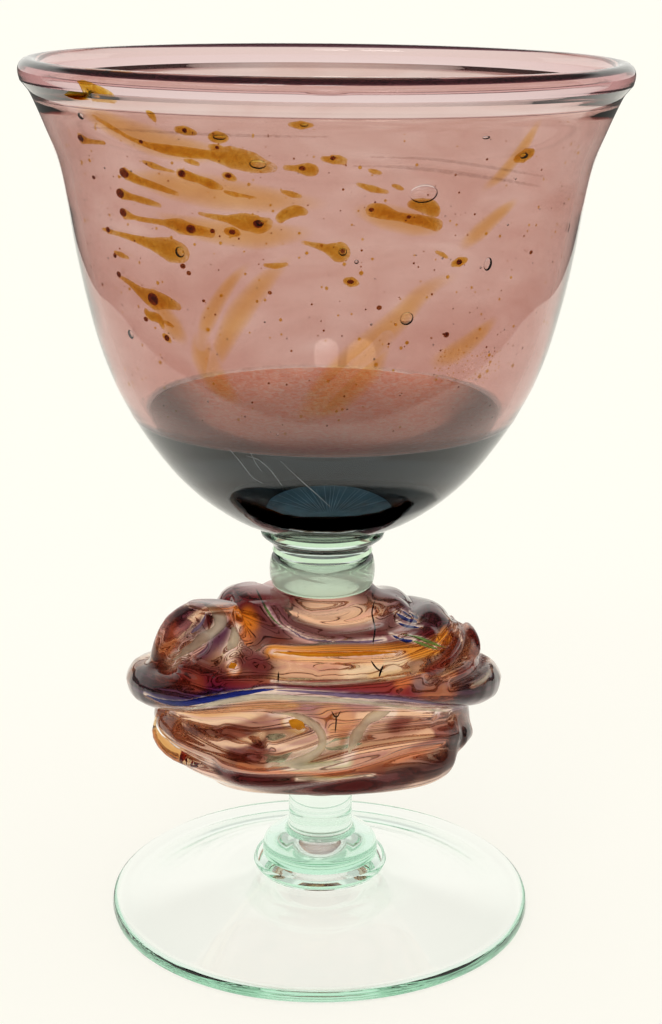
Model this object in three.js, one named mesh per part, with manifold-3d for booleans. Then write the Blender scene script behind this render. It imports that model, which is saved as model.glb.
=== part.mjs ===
// Hand-blown glass chalice: a wide amethyst bowl on a clear green stem, with a large wound knop of
// amber and amethyst glass, on a spun foot. Millimetres, +Z up, origin at the centre of the foot's base.
// Every piece is a separate gather or trail of glass, fused hot to the piece below it.
import * as THREE from "three";
import { mergeVertices } from "three/addons/utils/BufferGeometryUtils.js";
import Module from "manifold-3d";

const wasm = await Module();
wasm.setup();

// Facets
const wideFacets = 44;
const slimFacets = 32;
const trailSides = 8;

// Foot: a spun disc, slightly coned, that stands on a ring at its edge
const footRadius = 45.1;
const footEdge = 3.1;
const footSeatHeight = 8.6;
const footThickness = 3.2;
const footEdgeRound = 0.9;
const footRingWidth = 2.8;
const pontilRadius = 6;
const pontilDepth = 0.5;

// Button: the pressed ball that joins the stem to the foot
const buttonFlangeRadius = 14.4;
const buttonDomeRadius = 12.4;
const buttonHeight = 8.4;

// Lower stem
const stemRadius = 6.85;
const stemLength = 14;
const stemFlare = 0.9;

// Knop: a solid core with trails wound over it, leaning back so that its front edge stands high
const knopRadius = 33.5;
const knopCrown = 22.2;
const knopBelly = 22.6;
const knopLean = 12;
const knopOffset = 1.8;
const socketDepth = 3;
const neckOverhang = 0.6;
const neckFlare = 6;
const neckDepth = 5;
const seatClearance = 0.3;

// Swellings and dips of the hand-shaped core: height of each off its plain form
const earSwell = 2.8;
const rightSwell = 1.8;
const lowerRightSwell = 1.4;
const lowerLeftSwell = 1.2;
const frontDip = -1.3;
const waistDip = -1.2;

// Trails on the knop: radius across the surface, and radius out of it
const crownTrailWidth = 3.6;
const crownTrailDepth = 2.3;
const shoulderTrailWidth = 3.2;
const shoulderTrailDepth = 2.4;
const rightFoldWidth = 2.7;
const rightFoldDepth = 2.7;
const ridgeTrailWidth = 4.3;
const ridgeTrailDepth = 4.4;
const waistTrailWidth = 3.1;
const waistTrailDepth = 2.5;
const strandTrailWidth = 3.2;
const strandTrailDepth = 3;
const earTrailWidth = 4;
const earTrailDepth = 4;
const loopTrailRadius = 1.4;

// Upper stem: a bead of glass and a flared collar
const beadRadius = 11;
const beadEndRadius = 9.9;
const beadHeight = 7;
const collarOverhang = 0.5;
const collarRimRadius = 12.9;
const collarSeatRadius = 12.2;
const collarHeight = 5.6;

// Bowl: solid smoke-grey base with a dished floor, amethyst wall and lip wrap
const bowlHeight = 90.8;
const mouthRadius = 58.5;
const baseHeight = 25.2;
const dishDepth = 3.9;
const bowlWall = 2.5;
const lipRadius = 2.25;
const lipSeatWidth = 2.5;

// Heights of the joints, from the base up
const buttonBase = footSeatHeight;
const stemBase = buttonBase + buttonHeight;
const stemTop = stemBase + stemLength;
const knopCentre = stemTop - socketDepth + knopBelly;
const beadBase = knopCentre + knopCrown;
const collarBase = beadBase + beadHeight;
const bowlBottom = collarBase + collarHeight;
const bandHeight = bowlBottom + baseHeight;
const mouthHeight = bowlBottom + bowlHeight;

// Outline of the bowl: share of its height, share of the way from the collar's seat to the mouth's radius
const bowlOutlineShares = [
  [0, 0],
  [0.02, 0.078],
  [0.042, 0.16],
  [0.086, 0.281],
  [0.141, 0.393],
  [0.207, 0.492],
  [0.295, 0.6],
  [0.405, 0.693],
  [0.537, 0.762],
  [0.67, 0.812],
  [0.802, 0.851],
  [0.89, 0.907],
  [0.956, 0.959],
  [1, 1],
];

// Outline of the knop's core from crown to base: share of its radius, share of the crown or belly height
const coreOutlineShares = [
  [0, 1],
  [0.3, 0.9],
  [0.5, 0.76],
  [0.7, 0.58],
  [0.87, 0.37],
  [0.975, 0.14],
  [0.985, -0.08],
  [0.93, -0.26],
  [0.88, -0.45],
  [0.76, -0.66],
  [0.56, -0.83],
  [0.3, -0.95],
  [0, -1],
];

// Where the core swells or dips: turns round it, share of the way down it, and how far the swelling spreads
const coreSwellShares = [
  { height: earSwell, turns: -0.15, down: 0.31, turnSpread: 0.075, downSpread: 0.075 },
  { height: rightSwell, turns: 0.22, down: 0.31, turnSpread: 0.09, downSpread: 0.08 },
  { height: lowerRightSwell, turns: 0.17, down: 0.72, turnSpread: 0.07, downSpread: 0.07 },
  { height: lowerLeftSwell, turns: -0.2, down: 0.66, turnSpread: 0.08, downSpread: 0.08 },
  { height: frontDip, turns: 0.03, down: 0.12, turnSpread: 0.1, downSpread: 0.06 },
  { height: waistDip, turns: 0, down: 0.53, turnSpread: 0.16, downSpread: 0.05 },
];

// Stations of each trail: turns round the knop (0 is the front, 0.25 the right side), share of the way
// down its outline, lift off the surface as a share of the trail's depth, and share of its full girth
const crownStationShares = [
  [-0.5, 0.16, -0.7, 0.7],
  [-0.34, 0.16, -0.1, 0.9],
  [-0.2, 0.15, 0.1, 0.95],
  [-0.08, 0.175, 0.1, 1],
  [-0.01, 0.205, 0.15, 1],
  [0.06, 0.2, 0.1, 1],
  [0.16, 0.16, 0, 1],
  [0.3, 0.165, 0, 1],
  [0.44, 0.2, 0.1, 1],
  [0.58, 0.245, 0.1, 0.9],
  [0.68, 0.28, 0.1, 0.8],
  [0.76, 0.315, -0.6, 0.6],
];
const shoulderStationShares = [
  [-0.17, 0.395, -0.6, 0.6],
  [-0.115, 0.37, 0, 0.8],
  [-0.06, 0.33, 0.1, 0.9],
  [0.01, 0.315, 0.1, 0.9],
  [0.08, 0.312, 0.15, 1],
  [0.15, 0.295, 0.3, 1],
  [0.22, 0.262, 0.4, 1],
  [0.32, 0.25, 0.1, 1],
  [0.44, 0.285, 0.1, 1],
  [0.56, 0.325, 0.1, 0.9],
  [0.66, 0.355, -0.5, 0.6],
];
const rightFoldStationShares = [
  [0.05, 0.378, -0.7, 0.6],
  [0.11, 0.37, 0, 0.8],
  [0.165, 0.357, 0.35, 1],
  [0.22, 0.342, 0.55, 1.1],
  [0.28, 0.325, 0.3, 1],
  [0.35, 0.335, 0, 0.9],
  [0.43, 0.365, -0.6, 0.6],
];
const ridgeStationShares = [
  [-0.46, 0.49, -0.5, 0.8],
  [-0.36, 0.465, 0.2, 1],
  [-0.25, 0.45, 0.42, 1],
  [-0.185, 0.452, 0.4, 0.95],
  [-0.125, 0.444, 0.3, 0.8],
  [-0.065, 0.422, 0.2, 0.66],
  [0, 0.408, 0.2, 0.6],
  [0.065, 0.412, 0.2, 0.62],
  [0.13, 0.424, 0.3, 0.78],
  [0.185, 0.437, 0.45, 0.98],
  [0.25, 0.446, 0.45, 1.05],
  [0.35, 0.45, 0.3, 1],
  [0.45, 0.462, 0.2, 0.9],
  [0.53, 0.47, -0.5, 0.7],
];
const waistStationShares = [
  [-0.33, 0.57, -0.6, 0.6],
  [-0.26, 0.58, 0, 0.8],
  [-0.2, 0.605, 0.15, 0.85],
  [-0.13, 0.638, 0.2, 0.9],
  [-0.07, 0.658, 0.15, 0.85],
  [-0.005, 0.645, 0, 0.7],
  [0.05, 0.615, 0, 0.7],
  [0.11, 0.59, 0.1, 0.85],
  [0.19, 0.59, 0, 0.95],
  [0.28, 0.595, 0, 1],
  [0.39, 0.61, 0, 1],
  [0.5, 0.63, 0, 1],
  [0.61, 0.66, 0.1, 1],
  [0.71, 0.695, 0.1, 1],
  [0.8, 0.722, 0, 0.95],
  [0.87, 0.738, 0.1, 0.95],
  [0.93, 0.74, 0.2, 0.95],
  [0.99, 0.72, 0.2, 0.85],
  [1.05, 0.69, 0.1, 0.85],
  [1.12, 0.662, 0.1, 0.9],
  [1.19, 0.655, 0.2, 0.95],
  [1.26, 0.668, 0.2, 0.9],
  [1.34, 0.69, -0.5, 0.6],
];
const strandStationShares = [
  [-0.24, 0.79, -0.6, 0.6],
  [-0.17, 0.8, 0, 0.75],
  [-0.1, 0.8, 0.1, 0.75],
  [-0.03, 0.79, 0.1, 0.7],
  [0.04, 0.78, 0.15, 0.8],
  [0.1, 0.758, 0.2, 0.9],
  [0.15, 0.728, 0.35, 1],
  [0.19, 0.71, 0.45, 0.95],
];
const earStationShares = [
  [-0.215, 0.42, -0.2, 0.75],
  [-0.185, 0.36, 0.3, 0.9],
  [-0.165, 0.3, 0.55, 1],
  [-0.13, 0.268, 0.6, 1],
  [-0.1, 0.297, 0.4, 0.9],
  [-0.1, 0.35, 0.25, 0.8],
  [-0.13, 0.385, 0.1, 0.7],
  [-0.165, 0.395, -0.4, 0.6],
];
const loopStationShares = [
  [-0.185, 0.515, -0.4, 1],
  [-0.2, 0.56, 1.1, 1],
  [-0.2, 0.625, 1.7, 1],
  [-0.18, 0.68, 1.5, 1],
  [-0.15, 0.71, 0.9, 1],
  [-0.11, 0.73, -0.3, 1],
];

// Glass: colour, roughness and metalness of each melt
const melt = (color, opacity) =>
  new THREE.MeshStandardMaterial({
    color,
    opacity,
    transparent: true,
    roughness: 0.04,
    metalness: 0,
  });
const greenGlass = melt("#cfe6d6", 0.35);
const amethystGlass = melt("#b98a86", 0.5);
const smokeGlass = melt("#4a5358", 0.75);
const lipGlass = melt("#5a4248", 0.6);
const coreGlass = melt("#b06f4c", 0.65);
const trailGlass = melt("#5e3238", 0.75);
const amberGlass = melt("#b4682c", 0.7);

// A closed solid from a geometry whose shared corners are merged
function solidOf(geometry) {
  const bare = geometry.clone();
  bare.deleteAttribute("normal");
  bare.deleteAttribute("uv");
  const merged = mergeVertices(bare);
  return new wasm.Manifold(
    new wasm.Mesh({
      numProp: 3,
      vertProperties: merged.attributes.position.array,
      triVerts: new Uint32Array(merged.index.array),
    }),
  );
}

function geometryOf(solid) {
  const { numProp, vertProperties, triVerts } = solid.getMesh();
  const positions = new THREE.InterleavedBuffer(vertProperties, numProp);
  const geometry = new THREE.BufferGeometry();
  geometry.setAttribute("position", new THREE.InterleavedBufferAttribute(positions, 3, 0));
  geometry.setIndex(new THREE.BufferAttribute(triVerts, 1));
  const flat = geometry.toNonIndexed();
  flat.computeVertexNormals();
  return flat;
}

// Turns an outline of [radius, height] points, listed from the base up, round the Z axis
function turned(outline, facets) {
  const points = outline.map(([radius, height]) => new THREE.Vector2(radius, height));
  const geometry = new THREE.LatheGeometry(points, facets);
  geometry.rotateX(Math.PI / 2);
  return geometry;
}

// Points on a quarter or half round from one angle to another, both ends included
function arc(centreRadius, centreHeight, acrossRadius, upRadius, fromAngle, toAngle, steps) {
  return Array.from({ length: steps + 1 }, (_, i) => {
    const angle = fromAngle + ((toAngle - fromAngle) * i) / steps;
    return [
      centreRadius + acrossRadius * Math.cos(angle),
      centreHeight + upRadius * Math.sin(angle),
    ];
  });
}

// Foot: flat standing ring, rounded edge, coned top and hollowed underside with a ground pontil mark
function footGeometry() {
  const kickHeight = footSeatHeight - footThickness;
  const edgeMiddle = footEdge / 2;
  const ringOuter = footRadius - footEdgeRound;
  const ringInner = ringOuter - footRingWidth;
  const seatRadius = buttonFlangeRadius * 0.94;
  const topRun = ringOuter - seatRadius;
  const topRise = footSeatHeight - footEdge;
  const underRun = ringInner - pontilRadius;
  const underShares = [
    [0.8, 0.82],
    [0.55, 0.6],
    [0.25, 0.28],
  ];
  const topShares = [
    [0.12, 0.06],
    [0.4, 0.24],
    [0.68, 0.52],
    [0.86, 0.78],
  ];
  return turned(
    [
      [0, kickHeight + pontilDepth],
      [pontilRadius * 0.8, kickHeight + pontilDepth],
      [pontilRadius, kickHeight],
      ...underShares.map(([run, rise]) => [
        ringInner - underRun * run,
        kickHeight * rise,
      ]),
      [ringInner, 0],
      ...arc(ringOuter, edgeMiddle, footEdgeRound, edgeMiddle, -Math.PI / 2, Math.PI / 2, 4),
      ...topShares.map(([run, rise]) => [
        ringOuter - topRun * run,
        footEdge + topRise * rise,
      ]),
      [seatRadius, footSeatHeight],
      [0, footSeatHeight],
    ],
    wideFacets,
  );
}

// Button: a rolled flange pressed onto the foot, and a dome that the stem stands on
function buttonGeometry() {
  const flangeRound = buttonHeight * 0.17;
  const domeBase = buttonBase + flangeRound * 2;
  const domeHeight = buttonHeight - flangeRound * 2;
  const domeShoulder = stemRadius + stemFlare;
  return turned(
    [
      [0, buttonBase],
      [buttonFlangeRadius - flangeRound, buttonBase],
      ...arc(
        buttonFlangeRadius - flangeRound,
        buttonBase + flangeRound,
        flangeRound,
        flangeRound,
        -Math.PI / 4,
        Math.PI / 2,
        3,
      ),
      [buttonDomeRadius, domeBase + domeHeight * 0.06],
      ...arc(
        domeShoulder,
        domeBase + domeHeight * 0.3,
        buttonDomeRadius - domeShoulder,
        domeHeight * 0.7,
        0,
        Math.PI / 2,
        4,
      ),
      [0, stemBase],
    ],
    slimFacets,
  );
}

// Lower stem: a drawn rod, flared where it was dropped onto the button
function stemGeometry() {
  return turned(
    [
      [0, stemBase],
      [stemRadius + stemFlare, stemBase],
      [stemRadius + stemFlare * 0.35, stemBase + stemFlare],
      [stemRadius, stemBase + stemFlare * 2.5],
      [stemRadius, stemTop],
      [0, stemTop],
    ],
    slimFacets,
  );
}

// Bead above the knop: a short bulged gather with flat ends
function beadGeometry() {
  return turned(
    [
      [0, beadBase],
      ...arc(
        beadEndRadius,
        beadBase + beadHeight / 2,
        beadRadius - beadEndRadius,
        beadHeight / 2,
        -Math.PI / 2,
        Math.PI / 2,
        6,
      ),
      [0, collarBase],
    ],
    slimFacets,
  );
}

// Collar: a small dish that flares from the bead to the bowl
function collarGeometry() {
  const lipRound = collarHeight * 0.14;
  const collarFootRadius = beadEndRadius + collarOverhang;
  const flare = collarRimRadius - collarFootRadius;
  return turned(
    [
      [0, collarBase],
      [collarFootRadius - lipRound, collarBase],
      [collarFootRadius, collarBase + lipRound],
      [collarFootRadius - lipRound * 0.4, collarBase + lipRound * 2],
      [collarFootRadius + flare * 0.25, collarBase + collarHeight * 0.5],
      [collarRimRadius - lipRound * 0.2, collarBase + collarHeight * 0.76],
      [collarRimRadius, collarBase + collarHeight * 0.88],
      [collarSeatRadius, bowlBottom],
      [0, bowlBottom],
    ],
    slimFacets,
  );
}

// Outline of the bowl's outer face as a smooth curve: x is the radius and y the height
const bowlOutline = new THREE.SplineCurve(
  bowlOutlineShares.map(
    ([up, out]) =>
      new THREE.Vector2(
        collarSeatRadius + (mouthRadius - collarSeatRadius) * out,
        bowlBottom + bowlHeight * up,
      ),
  ),
);

// Radius and slope of the bowl's outer face at a height
function bowlFaceAt(height) {
  let low = 0;
  let high = 1;
  for (let i = 0; i < 30; i++) {
    const middle = (low + high) / 2;
    if (bowlOutline.getPoint(middle).y < height) low = middle;
    else high = middle;
  }
  const tangent = bowlOutline.getTangent(low);
  return { radius: bowlOutline.getPoint(low).x, slope: tangent.x / tangent.y };
}

function outerPoint(height) {
  return [bowlFaceAt(height).radius, height];
}

// A point on the inner face, a wall's thickness in from the outer face
function innerPoint(height) {
  const { radius, slope } = bowlFaceAt(height);
  return [radius - bowlWall * Math.hypot(1, slope), height];
}

function between(low, high, shares) {
  return shares.map((share) => low + (high - low) * share);
}

// Bowl base: a solid gather whose dished floor meets the wall at the band
function baseGeometry() {
  const upShares = [0.07, 0.15, 0.25, 0.36, 0.5, 0.65, 0.82, 1];
  const floorRadius = innerPoint(bandHeight)[0];
  const floorShares = [1, 0.86, 0.68, 0.48, 0.26];
  return turned(
    [
      [0, bowlBottom],
      [collarSeatRadius, bowlBottom],
      ...between(bowlBottom, bandHeight, upShares).map(outerPoint),
      ...floorShares.map((share) => [
        floorRadius * share,
        bandHeight - dishDepth * (1 - share * share),
      ]),
      [0, bandHeight - dishDepth],
    ],
    wideFacets,
  );
}

// Amethyst wall: from the base's edge to the lip wrap, everted at the mouth
function wallGeometry() {
  const lipInner = mouthRadius - lipSeatWidth;
  const faceShares = [0, 0.1, 0.22, 0.36, 0.5, 0.64, 0.76, 0.87, 0.94];
  const heights = between(bandHeight, mouthHeight, faceShares);
  return turned(
    [
      ...heights.map(outerPoint),
      [mouthRadius, mouthHeight],
      [lipInner, mouthHeight],
      ...heights.reverse().map(innerPoint),
      outerPoint(bandHeight),
    ],
    wideFacets,
  );
}

// Lip wrap: a round trail laid on the mouth, flat where it is fused to the wall
function lipGeometry() {
  const lipCentre = mouthRadius - lipSeatWidth / 2;
  const seatAngle = Math.asin(lipSeatWidth / 2 / lipRadius);
  const seatDrop = lipRadius * Math.cos(seatAngle);
  const section = arc(
    lipCentre,
    mouthHeight + seatDrop,
    lipRadius,
    lipRadius,
    seatAngle - Math.PI / 2,
    (Math.PI * 3) / 2 - seatAngle,
    9,
  );
  return turned([...section, section[0]], wideFacets);
}

// Outline of the knop's core, in the leaning frame of the knop
const coreOutline = new THREE.SplineCurve(
  coreOutlineShares.map(
    ([out, up]) =>
      new THREE.Vector2(knopRadius * out, up > 0 ? knopCrown * up : knopBelly * up),
  ),
);

// How far the hand-shaped core swells or dips at a place on its face
function swellAt(turns, down) {
  return coreSwellShares.reduce((sum, swell) => {
    const away = turns - swell.turns;
    const round = (away - Math.round(away)) / swell.turnSpread;
    const along = (down - swell.down) / swell.downSpread;
    return sum + swell.height * Math.exp(-round * round - along * along);
  }, 0);
}

// A point over the core's face: turns round it, share of the way down, and height off the face
function facePoint(turns, down, lift) {
  const angle = turns * 2 * Math.PI;
  const at = coreOutline.getPoint(down);
  const along = coreOutline.getTangent(down);
  const out = lift + swellAt(turns, down);
  const radius = at.x - along.y * out;
  return new THREE.Vector3(radius * Math.sin(angle), -radius * Math.cos(angle), at.y + along.x * out);
}

// From the knop's leaning frame to the chalice's frame
const knopFrame = new THREE.Matrix4()
  .makeTranslation(-knopOffset, 0, knopCentre)
  .multiply(new THREE.Matrix4().makeRotationX(-THREE.MathUtils.degToRad(knopLean)));

// Joins rings of points into a closed skin, with a point at each end
function skin(rings, first, last) {
  const corners = [first, ...rings.flat(), last];
  const count = rings[0].length;
  const faces = [];
  const at = (ring, i) => 1 + ring * count + (i % count);
  for (let i = 0; i < count; i++) {
    faces.push(0, at(0, i + 1), at(0, i));
    faces.push(corners.length - 1, at(rings.length - 1, i), at(rings.length - 1, i + 1));
    for (let ring = 0; ring + 1 < rings.length; ring++) {
      faces.push(at(ring, i), at(ring, i + 1), at(ring + 1, i + 1));
      faces.push(at(ring, i), at(ring + 1, i + 1), at(ring + 1, i));
    }
  }
  const geometry = new THREE.BufferGeometry().setFromPoints(corners);
  geometry.setIndex(faces);
  return geometry;
}

function outward(geometry) {
  const solid = solidOf(geometry);
  if (solid.volume() > 0) return solid;
  const turnedOver = geometry.clone();
  turnedOver.index.array.reverse();
  return solidOf(turnedOver);
}

// The bare core: rings down its outline, with its swellings
function coreBlank() {
  const rings = 15;
  const rows = Array.from({ length: rings - 1 }, (_, row) =>
    Array.from({ length: slimFacets }, (_, i) => facePoint(i / slimFacets, (row + 1) / rings, 0)),
  );
  return outward(skin(rows, facePoint(0, 0, 0), facePoint(0, 1, 0)).applyMatrix4(knopFrame));
}

// A trail laid over the core through its stations, oval in section and round at its ends
function trail({ stations, width, depth, steps, grow = 0 }) {
  const route = new THREE.SplineCurve(stations.map(([turns, down]) => new THREE.Vector2(turns, down)));
  const body = new THREE.SplineCurve(stations.map(([, , lift, girth]) => new THREE.Vector2(lift, girth)));
  const place = (share, rise = 0) => {
    const { x: turns, y: down } = route.getPoint(share);
    return facePoint(turns, down, body.getPoint(share).x * depth + rise);
  };
  const nudge = 1 / (steps * 4);
  const rings = [];
  for (let step = 0; step <= steps; step++) {
    const share = step / steps;
    const centre = place(share);
    const ahead = place(Math.min(1, share + nudge)).sub(place(Math.max(0, share - nudge)));
    const out = place(share, depth).sub(centre).normalize();
    const across = ahead.clone().cross(out).normalize();
    const { y: girth } = body.getPoint(share);
    const full = girth * Math.sqrt(1 - Math.pow(Math.abs(2 * share - 1), steps / 2) * 0.8);
    rings.push(
      Array.from({ length: trailSides }, (_, i) => {
        const angle = (i / trailSides) * 2 * Math.PI;
        return centre
          .clone()
          .addScaledVector(out, Math.cos(angle) * (depth * full + grow))
          .addScaledVector(across, Math.sin(angle) * (width * full + grow));
      }),
    );
  }
  const reach = width * 0.35 + grow;
  const start = place(0).sub(place(nudge)).setLength(reach).add(place(0));
  const finish = place(1).sub(place(1 - nudge)).setLength(reach).add(place(1));
  return outward(skin(rings, start, finish).applyMatrix4(knopFrame));
}

// The main body of a trail, without the scraps that lie buried under its neighbours
function mainBody(solid) {
  return solid.decompose().reduce((main, body) => (body.volume() > main.volume() ? body : main));
}

// The trails in the order in which they were laid: each seats on those before it
const trails = [
  {
    name: "knop_crown_trail",
    material: amberGlass,
    stations: crownStationShares,
    width: crownTrailWidth,
    depth: crownTrailDepth,
    steps: 34,
  },
  {
    name: "knop_shoulder_trail",
    material: amberGlass,
    stations: shoulderStationShares,
    width: shoulderTrailWidth,
    depth: shoulderTrailDepth,
    steps: 28,
  },
  {
    name: "knop_right_fold",
    material: trailGlass,
    stations: rightFoldStationShares,
    width: rightFoldWidth,
    depth: rightFoldDepth,
    steps: 16,
  },
  {
    name: "knop_waist_trail",
    material: trailGlass,
    stations: waistStationShares,
    width: waistTrailWidth,
    depth: waistTrailDepth,
    steps: 52,
  },
  {
    name: "knop_base_strand",
    material: trailGlass,
    stations: strandStationShares,
    width: strandTrailWidth,
    depth: strandTrailDepth,
    steps: 16,
  },
  {
    name: "knop_ridge_trail",
    material: trailGlass,
    stations: ridgeStationShares,
    width: ridgeTrailWidth,
    depth: ridgeTrailDepth,
    steps: 38,
  },
  {
    name: "knop_ear_fold",
    material: trailGlass,
    stations: earStationShares,
    width: earTrailWidth,
    depth: earTrailDepth,
    steps: 20,
  },
  {
    name: "knop_side_loop",
    material: amberGlass,
    stations: loopStationShares,
    width: loopTrailRadius,
    depth: loopTrailRadius,
    steps: 14,
  },
];

const chalice = new THREE.Group();
chalice.name = "chalice";

function add(name, geometry, material) {
  const mesh = new THREE.Mesh(geometry, material);
  mesh.name = name;
  chalice.add(mesh);
}

add("foot", footGeometry(), greenGlass);
add("foot_button", buttonGeometry(), greenGlass);
add("lower_stem", stemGeometry(), greenGlass);

// The stem stands in a socket of the knop, and the bead on a flat neck at its crown
const overrun = knopCrown;
const stemSocket = solidOf(
  turned(
    [
      [0, stemBase],
      [stemRadius + seatClearance, stemBase],
      [stemRadius + seatClearance, stemTop],
      [0, stemTop],
    ],
    slimFacets,
  ),
);
const crownFlat = solidOf(
  turned(
    [
      [0, beadBase],
      [knopRadius, beadBase],
      [knopRadius, beadBase + overrun],
      [0, beadBase + overrun],
    ],
    slimFacets,
  ),
);
const neckRadius = beadEndRadius + neckOverhang;
const neckBase = beadBase - neckDepth;
const neck = solidOf(
  turned(
    [
      [0, neckBase],
      [neckRadius + neckFlare, neckBase],
      [neckRadius + neckFlare * 0.55, neckBase + neckDepth * 0.22],
      [neckRadius + neckFlare * 0.2, neckBase + neckDepth * 0.55],
      [neckRadius, beadBase],
      [0, beadBase],
    ],
    slimFacets,
  ),
);
let core = coreBlank().add(neck).subtract(stemSocket).subtract(crownFlat);
const laid = [];
for (const { name, material, ...shape } of trails) {
  const cutter = trail({ ...shape, grow: seatClearance });
  let piece = trail(shape).subtract(crownFlat);
  for (const earlier of laid) piece = piece.subtract(earlier);
  core = core.subtract(cutter);
  laid.push(cutter);
  add(name, geometryOf(mainBody(piece)), material);
}
add("knop_core", geometryOf(mainBody(core)), coreGlass);

add("stem_bead", beadGeometry(), greenGlass);
add("stem_collar", collarGeometry(), greenGlass);
add("bowl_base", baseGeometry(), smokeGlass);
add("bowl_wall", wallGeometry(), amethystGlass);
add("lip_wrap", lipGeometry(), lipGlass);

export default chalice;
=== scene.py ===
import math

import bmesh
import bpy
import numpy as np
from mathutils import Euler, Matrix, Vector
from mathutils.bvhtree import BVHTree


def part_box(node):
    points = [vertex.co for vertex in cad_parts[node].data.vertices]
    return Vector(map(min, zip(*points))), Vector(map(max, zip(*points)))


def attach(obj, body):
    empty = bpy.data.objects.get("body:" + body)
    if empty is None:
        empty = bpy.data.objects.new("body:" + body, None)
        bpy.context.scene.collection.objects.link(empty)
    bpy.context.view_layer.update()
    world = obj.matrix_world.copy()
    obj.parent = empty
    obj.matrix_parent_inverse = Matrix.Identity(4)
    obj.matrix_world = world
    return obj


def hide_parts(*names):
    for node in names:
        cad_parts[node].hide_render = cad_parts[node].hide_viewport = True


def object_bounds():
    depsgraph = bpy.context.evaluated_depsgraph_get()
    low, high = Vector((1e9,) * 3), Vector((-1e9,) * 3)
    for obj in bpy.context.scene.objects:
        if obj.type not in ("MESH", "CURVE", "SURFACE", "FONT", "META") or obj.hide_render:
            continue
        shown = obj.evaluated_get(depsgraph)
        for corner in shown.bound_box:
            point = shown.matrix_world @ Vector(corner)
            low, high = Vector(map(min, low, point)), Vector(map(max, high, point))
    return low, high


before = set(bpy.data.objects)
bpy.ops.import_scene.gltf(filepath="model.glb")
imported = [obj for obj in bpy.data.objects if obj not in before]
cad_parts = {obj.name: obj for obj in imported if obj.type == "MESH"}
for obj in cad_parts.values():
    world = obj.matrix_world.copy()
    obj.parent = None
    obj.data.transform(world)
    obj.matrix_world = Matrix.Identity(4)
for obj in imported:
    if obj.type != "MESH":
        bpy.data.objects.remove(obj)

cadBox = [list(corner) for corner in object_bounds()]
scene = bpy.context.scene
mm = 0.001
fuseGap = 0.01 * mm  # each of two fused faces stands back by this, so that the two never coincide
sameHeight = 0.02 * mm  # points nearer in height than this lie on one level
bottomOf = {node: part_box(node)[0].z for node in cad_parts}
topOf = {node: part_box(node)[1].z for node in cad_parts}

# The photograph's camera: place and nearest sight in metres, degrees down and clockwise, lens and sensor in
# millimetres, and the image size
view = {"place": (0.0006, -0.3829, 0.2010), "nearest": 0.01, "down": 16.38, "clockwise": 0.55,
        "lens": 67.7, "sensor": 36, "width": 662, "height": 1024}
viewTurn = Euler((math.radians(90 - view["down"]), math.radians(-view["clockwise"]), 0))
focalPixels = view["lens"] / view["sensor"] * view["height"]


def rayThrough(x, y):
    ray = Vector(((x - view["width"] / 2) / focalPixels, (view["height"] / 2 - y) / focalPixels, -1))
    return (viewTurn.to_matrix() @ ray).normalized()


def pixelOf(point):
    seen = viewTurn.to_matrix().transposed() @ (point - Vector(view["place"]))
    return (view["width"] / 2 - focalPixels * seen.x / seen.z,
            view["height"] / 2 + focalPixels * seen.y / seen.z)


# Where the camera's ray through a pixel meets a mesh, and the mesh's normal there
def metAt(tree, x, y):
    return tree.ray_cast(Vector(view["place"]), rayThrough(x, y))[:2]


# Goes from 0 at start to 1 at end, slowly at both
def easeShare(value, start, end):
    t = max(0.0, min(1.0, (value - start) / (end - start)))
    return t * t * (3 - 2 * t)


# Colours and nodes

def linear(hexColour):
    parts = [int(hexColour[i:i + 2], 16) / 255 for i in (1, 3, 5)]
    return [c / 12.92 if c <= 0.04045 else ((c + 0.055) / 1.055) ** 2.4 for c in parts] + [1.0]


# Adds a node. An input that is a node takes that node's first output.
def add(tree, kind, settings=None, inputs=None):
    node = tree.nodes.new(kind)
    for key, value in (settings or {}).items():
        setattr(node, key, value)
    for key, value in (inputs or {}).items():
        if isinstance(value, bpy.types.Node):
            value = value.outputs[0]
        if isinstance(value, bpy.types.NodeSocket):
            tree.links.new(value, node.inputs[key])
        else:
            node.inputs[key].default_value = value
    return node


def emptyMaterial(name):
    material = bpy.data.materials.new(name)
    material.use_nodes = True
    material.node_tree.nodes.clear()
    return material, material.node_tree


def objectPlace(tree):
    return add(tree, "ShaderNodeTexCoord").outputs["Object"]


# Light that glass takes, per millimetre of red, green and blue, as a volume
def absorption(tree, takes):
    most = max(takes)
    colour = [1 - share / most for share in takes] + [1.0]
    return add(tree, "ShaderNodeVolumeAbsorption", inputs={"Color": colour, "Density": most / mm})


# How deep a colour is, in clouds of a size in mm: noise between two values gives depths between two others
def cloudDepth(tree, where, size, noise, between, depths):
    cloud = add(tree, "ShaderNodeTexNoise", inputs={"Vector": where, "Scale": 1 / (size * mm), **noise})
    return add(tree, "ShaderNodeMapRange", inputs={
        "Value": cloud, "From Min": between[0], "From Max": between[1],
        "To Min": depths[0], "To Max": depths[1]})


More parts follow.
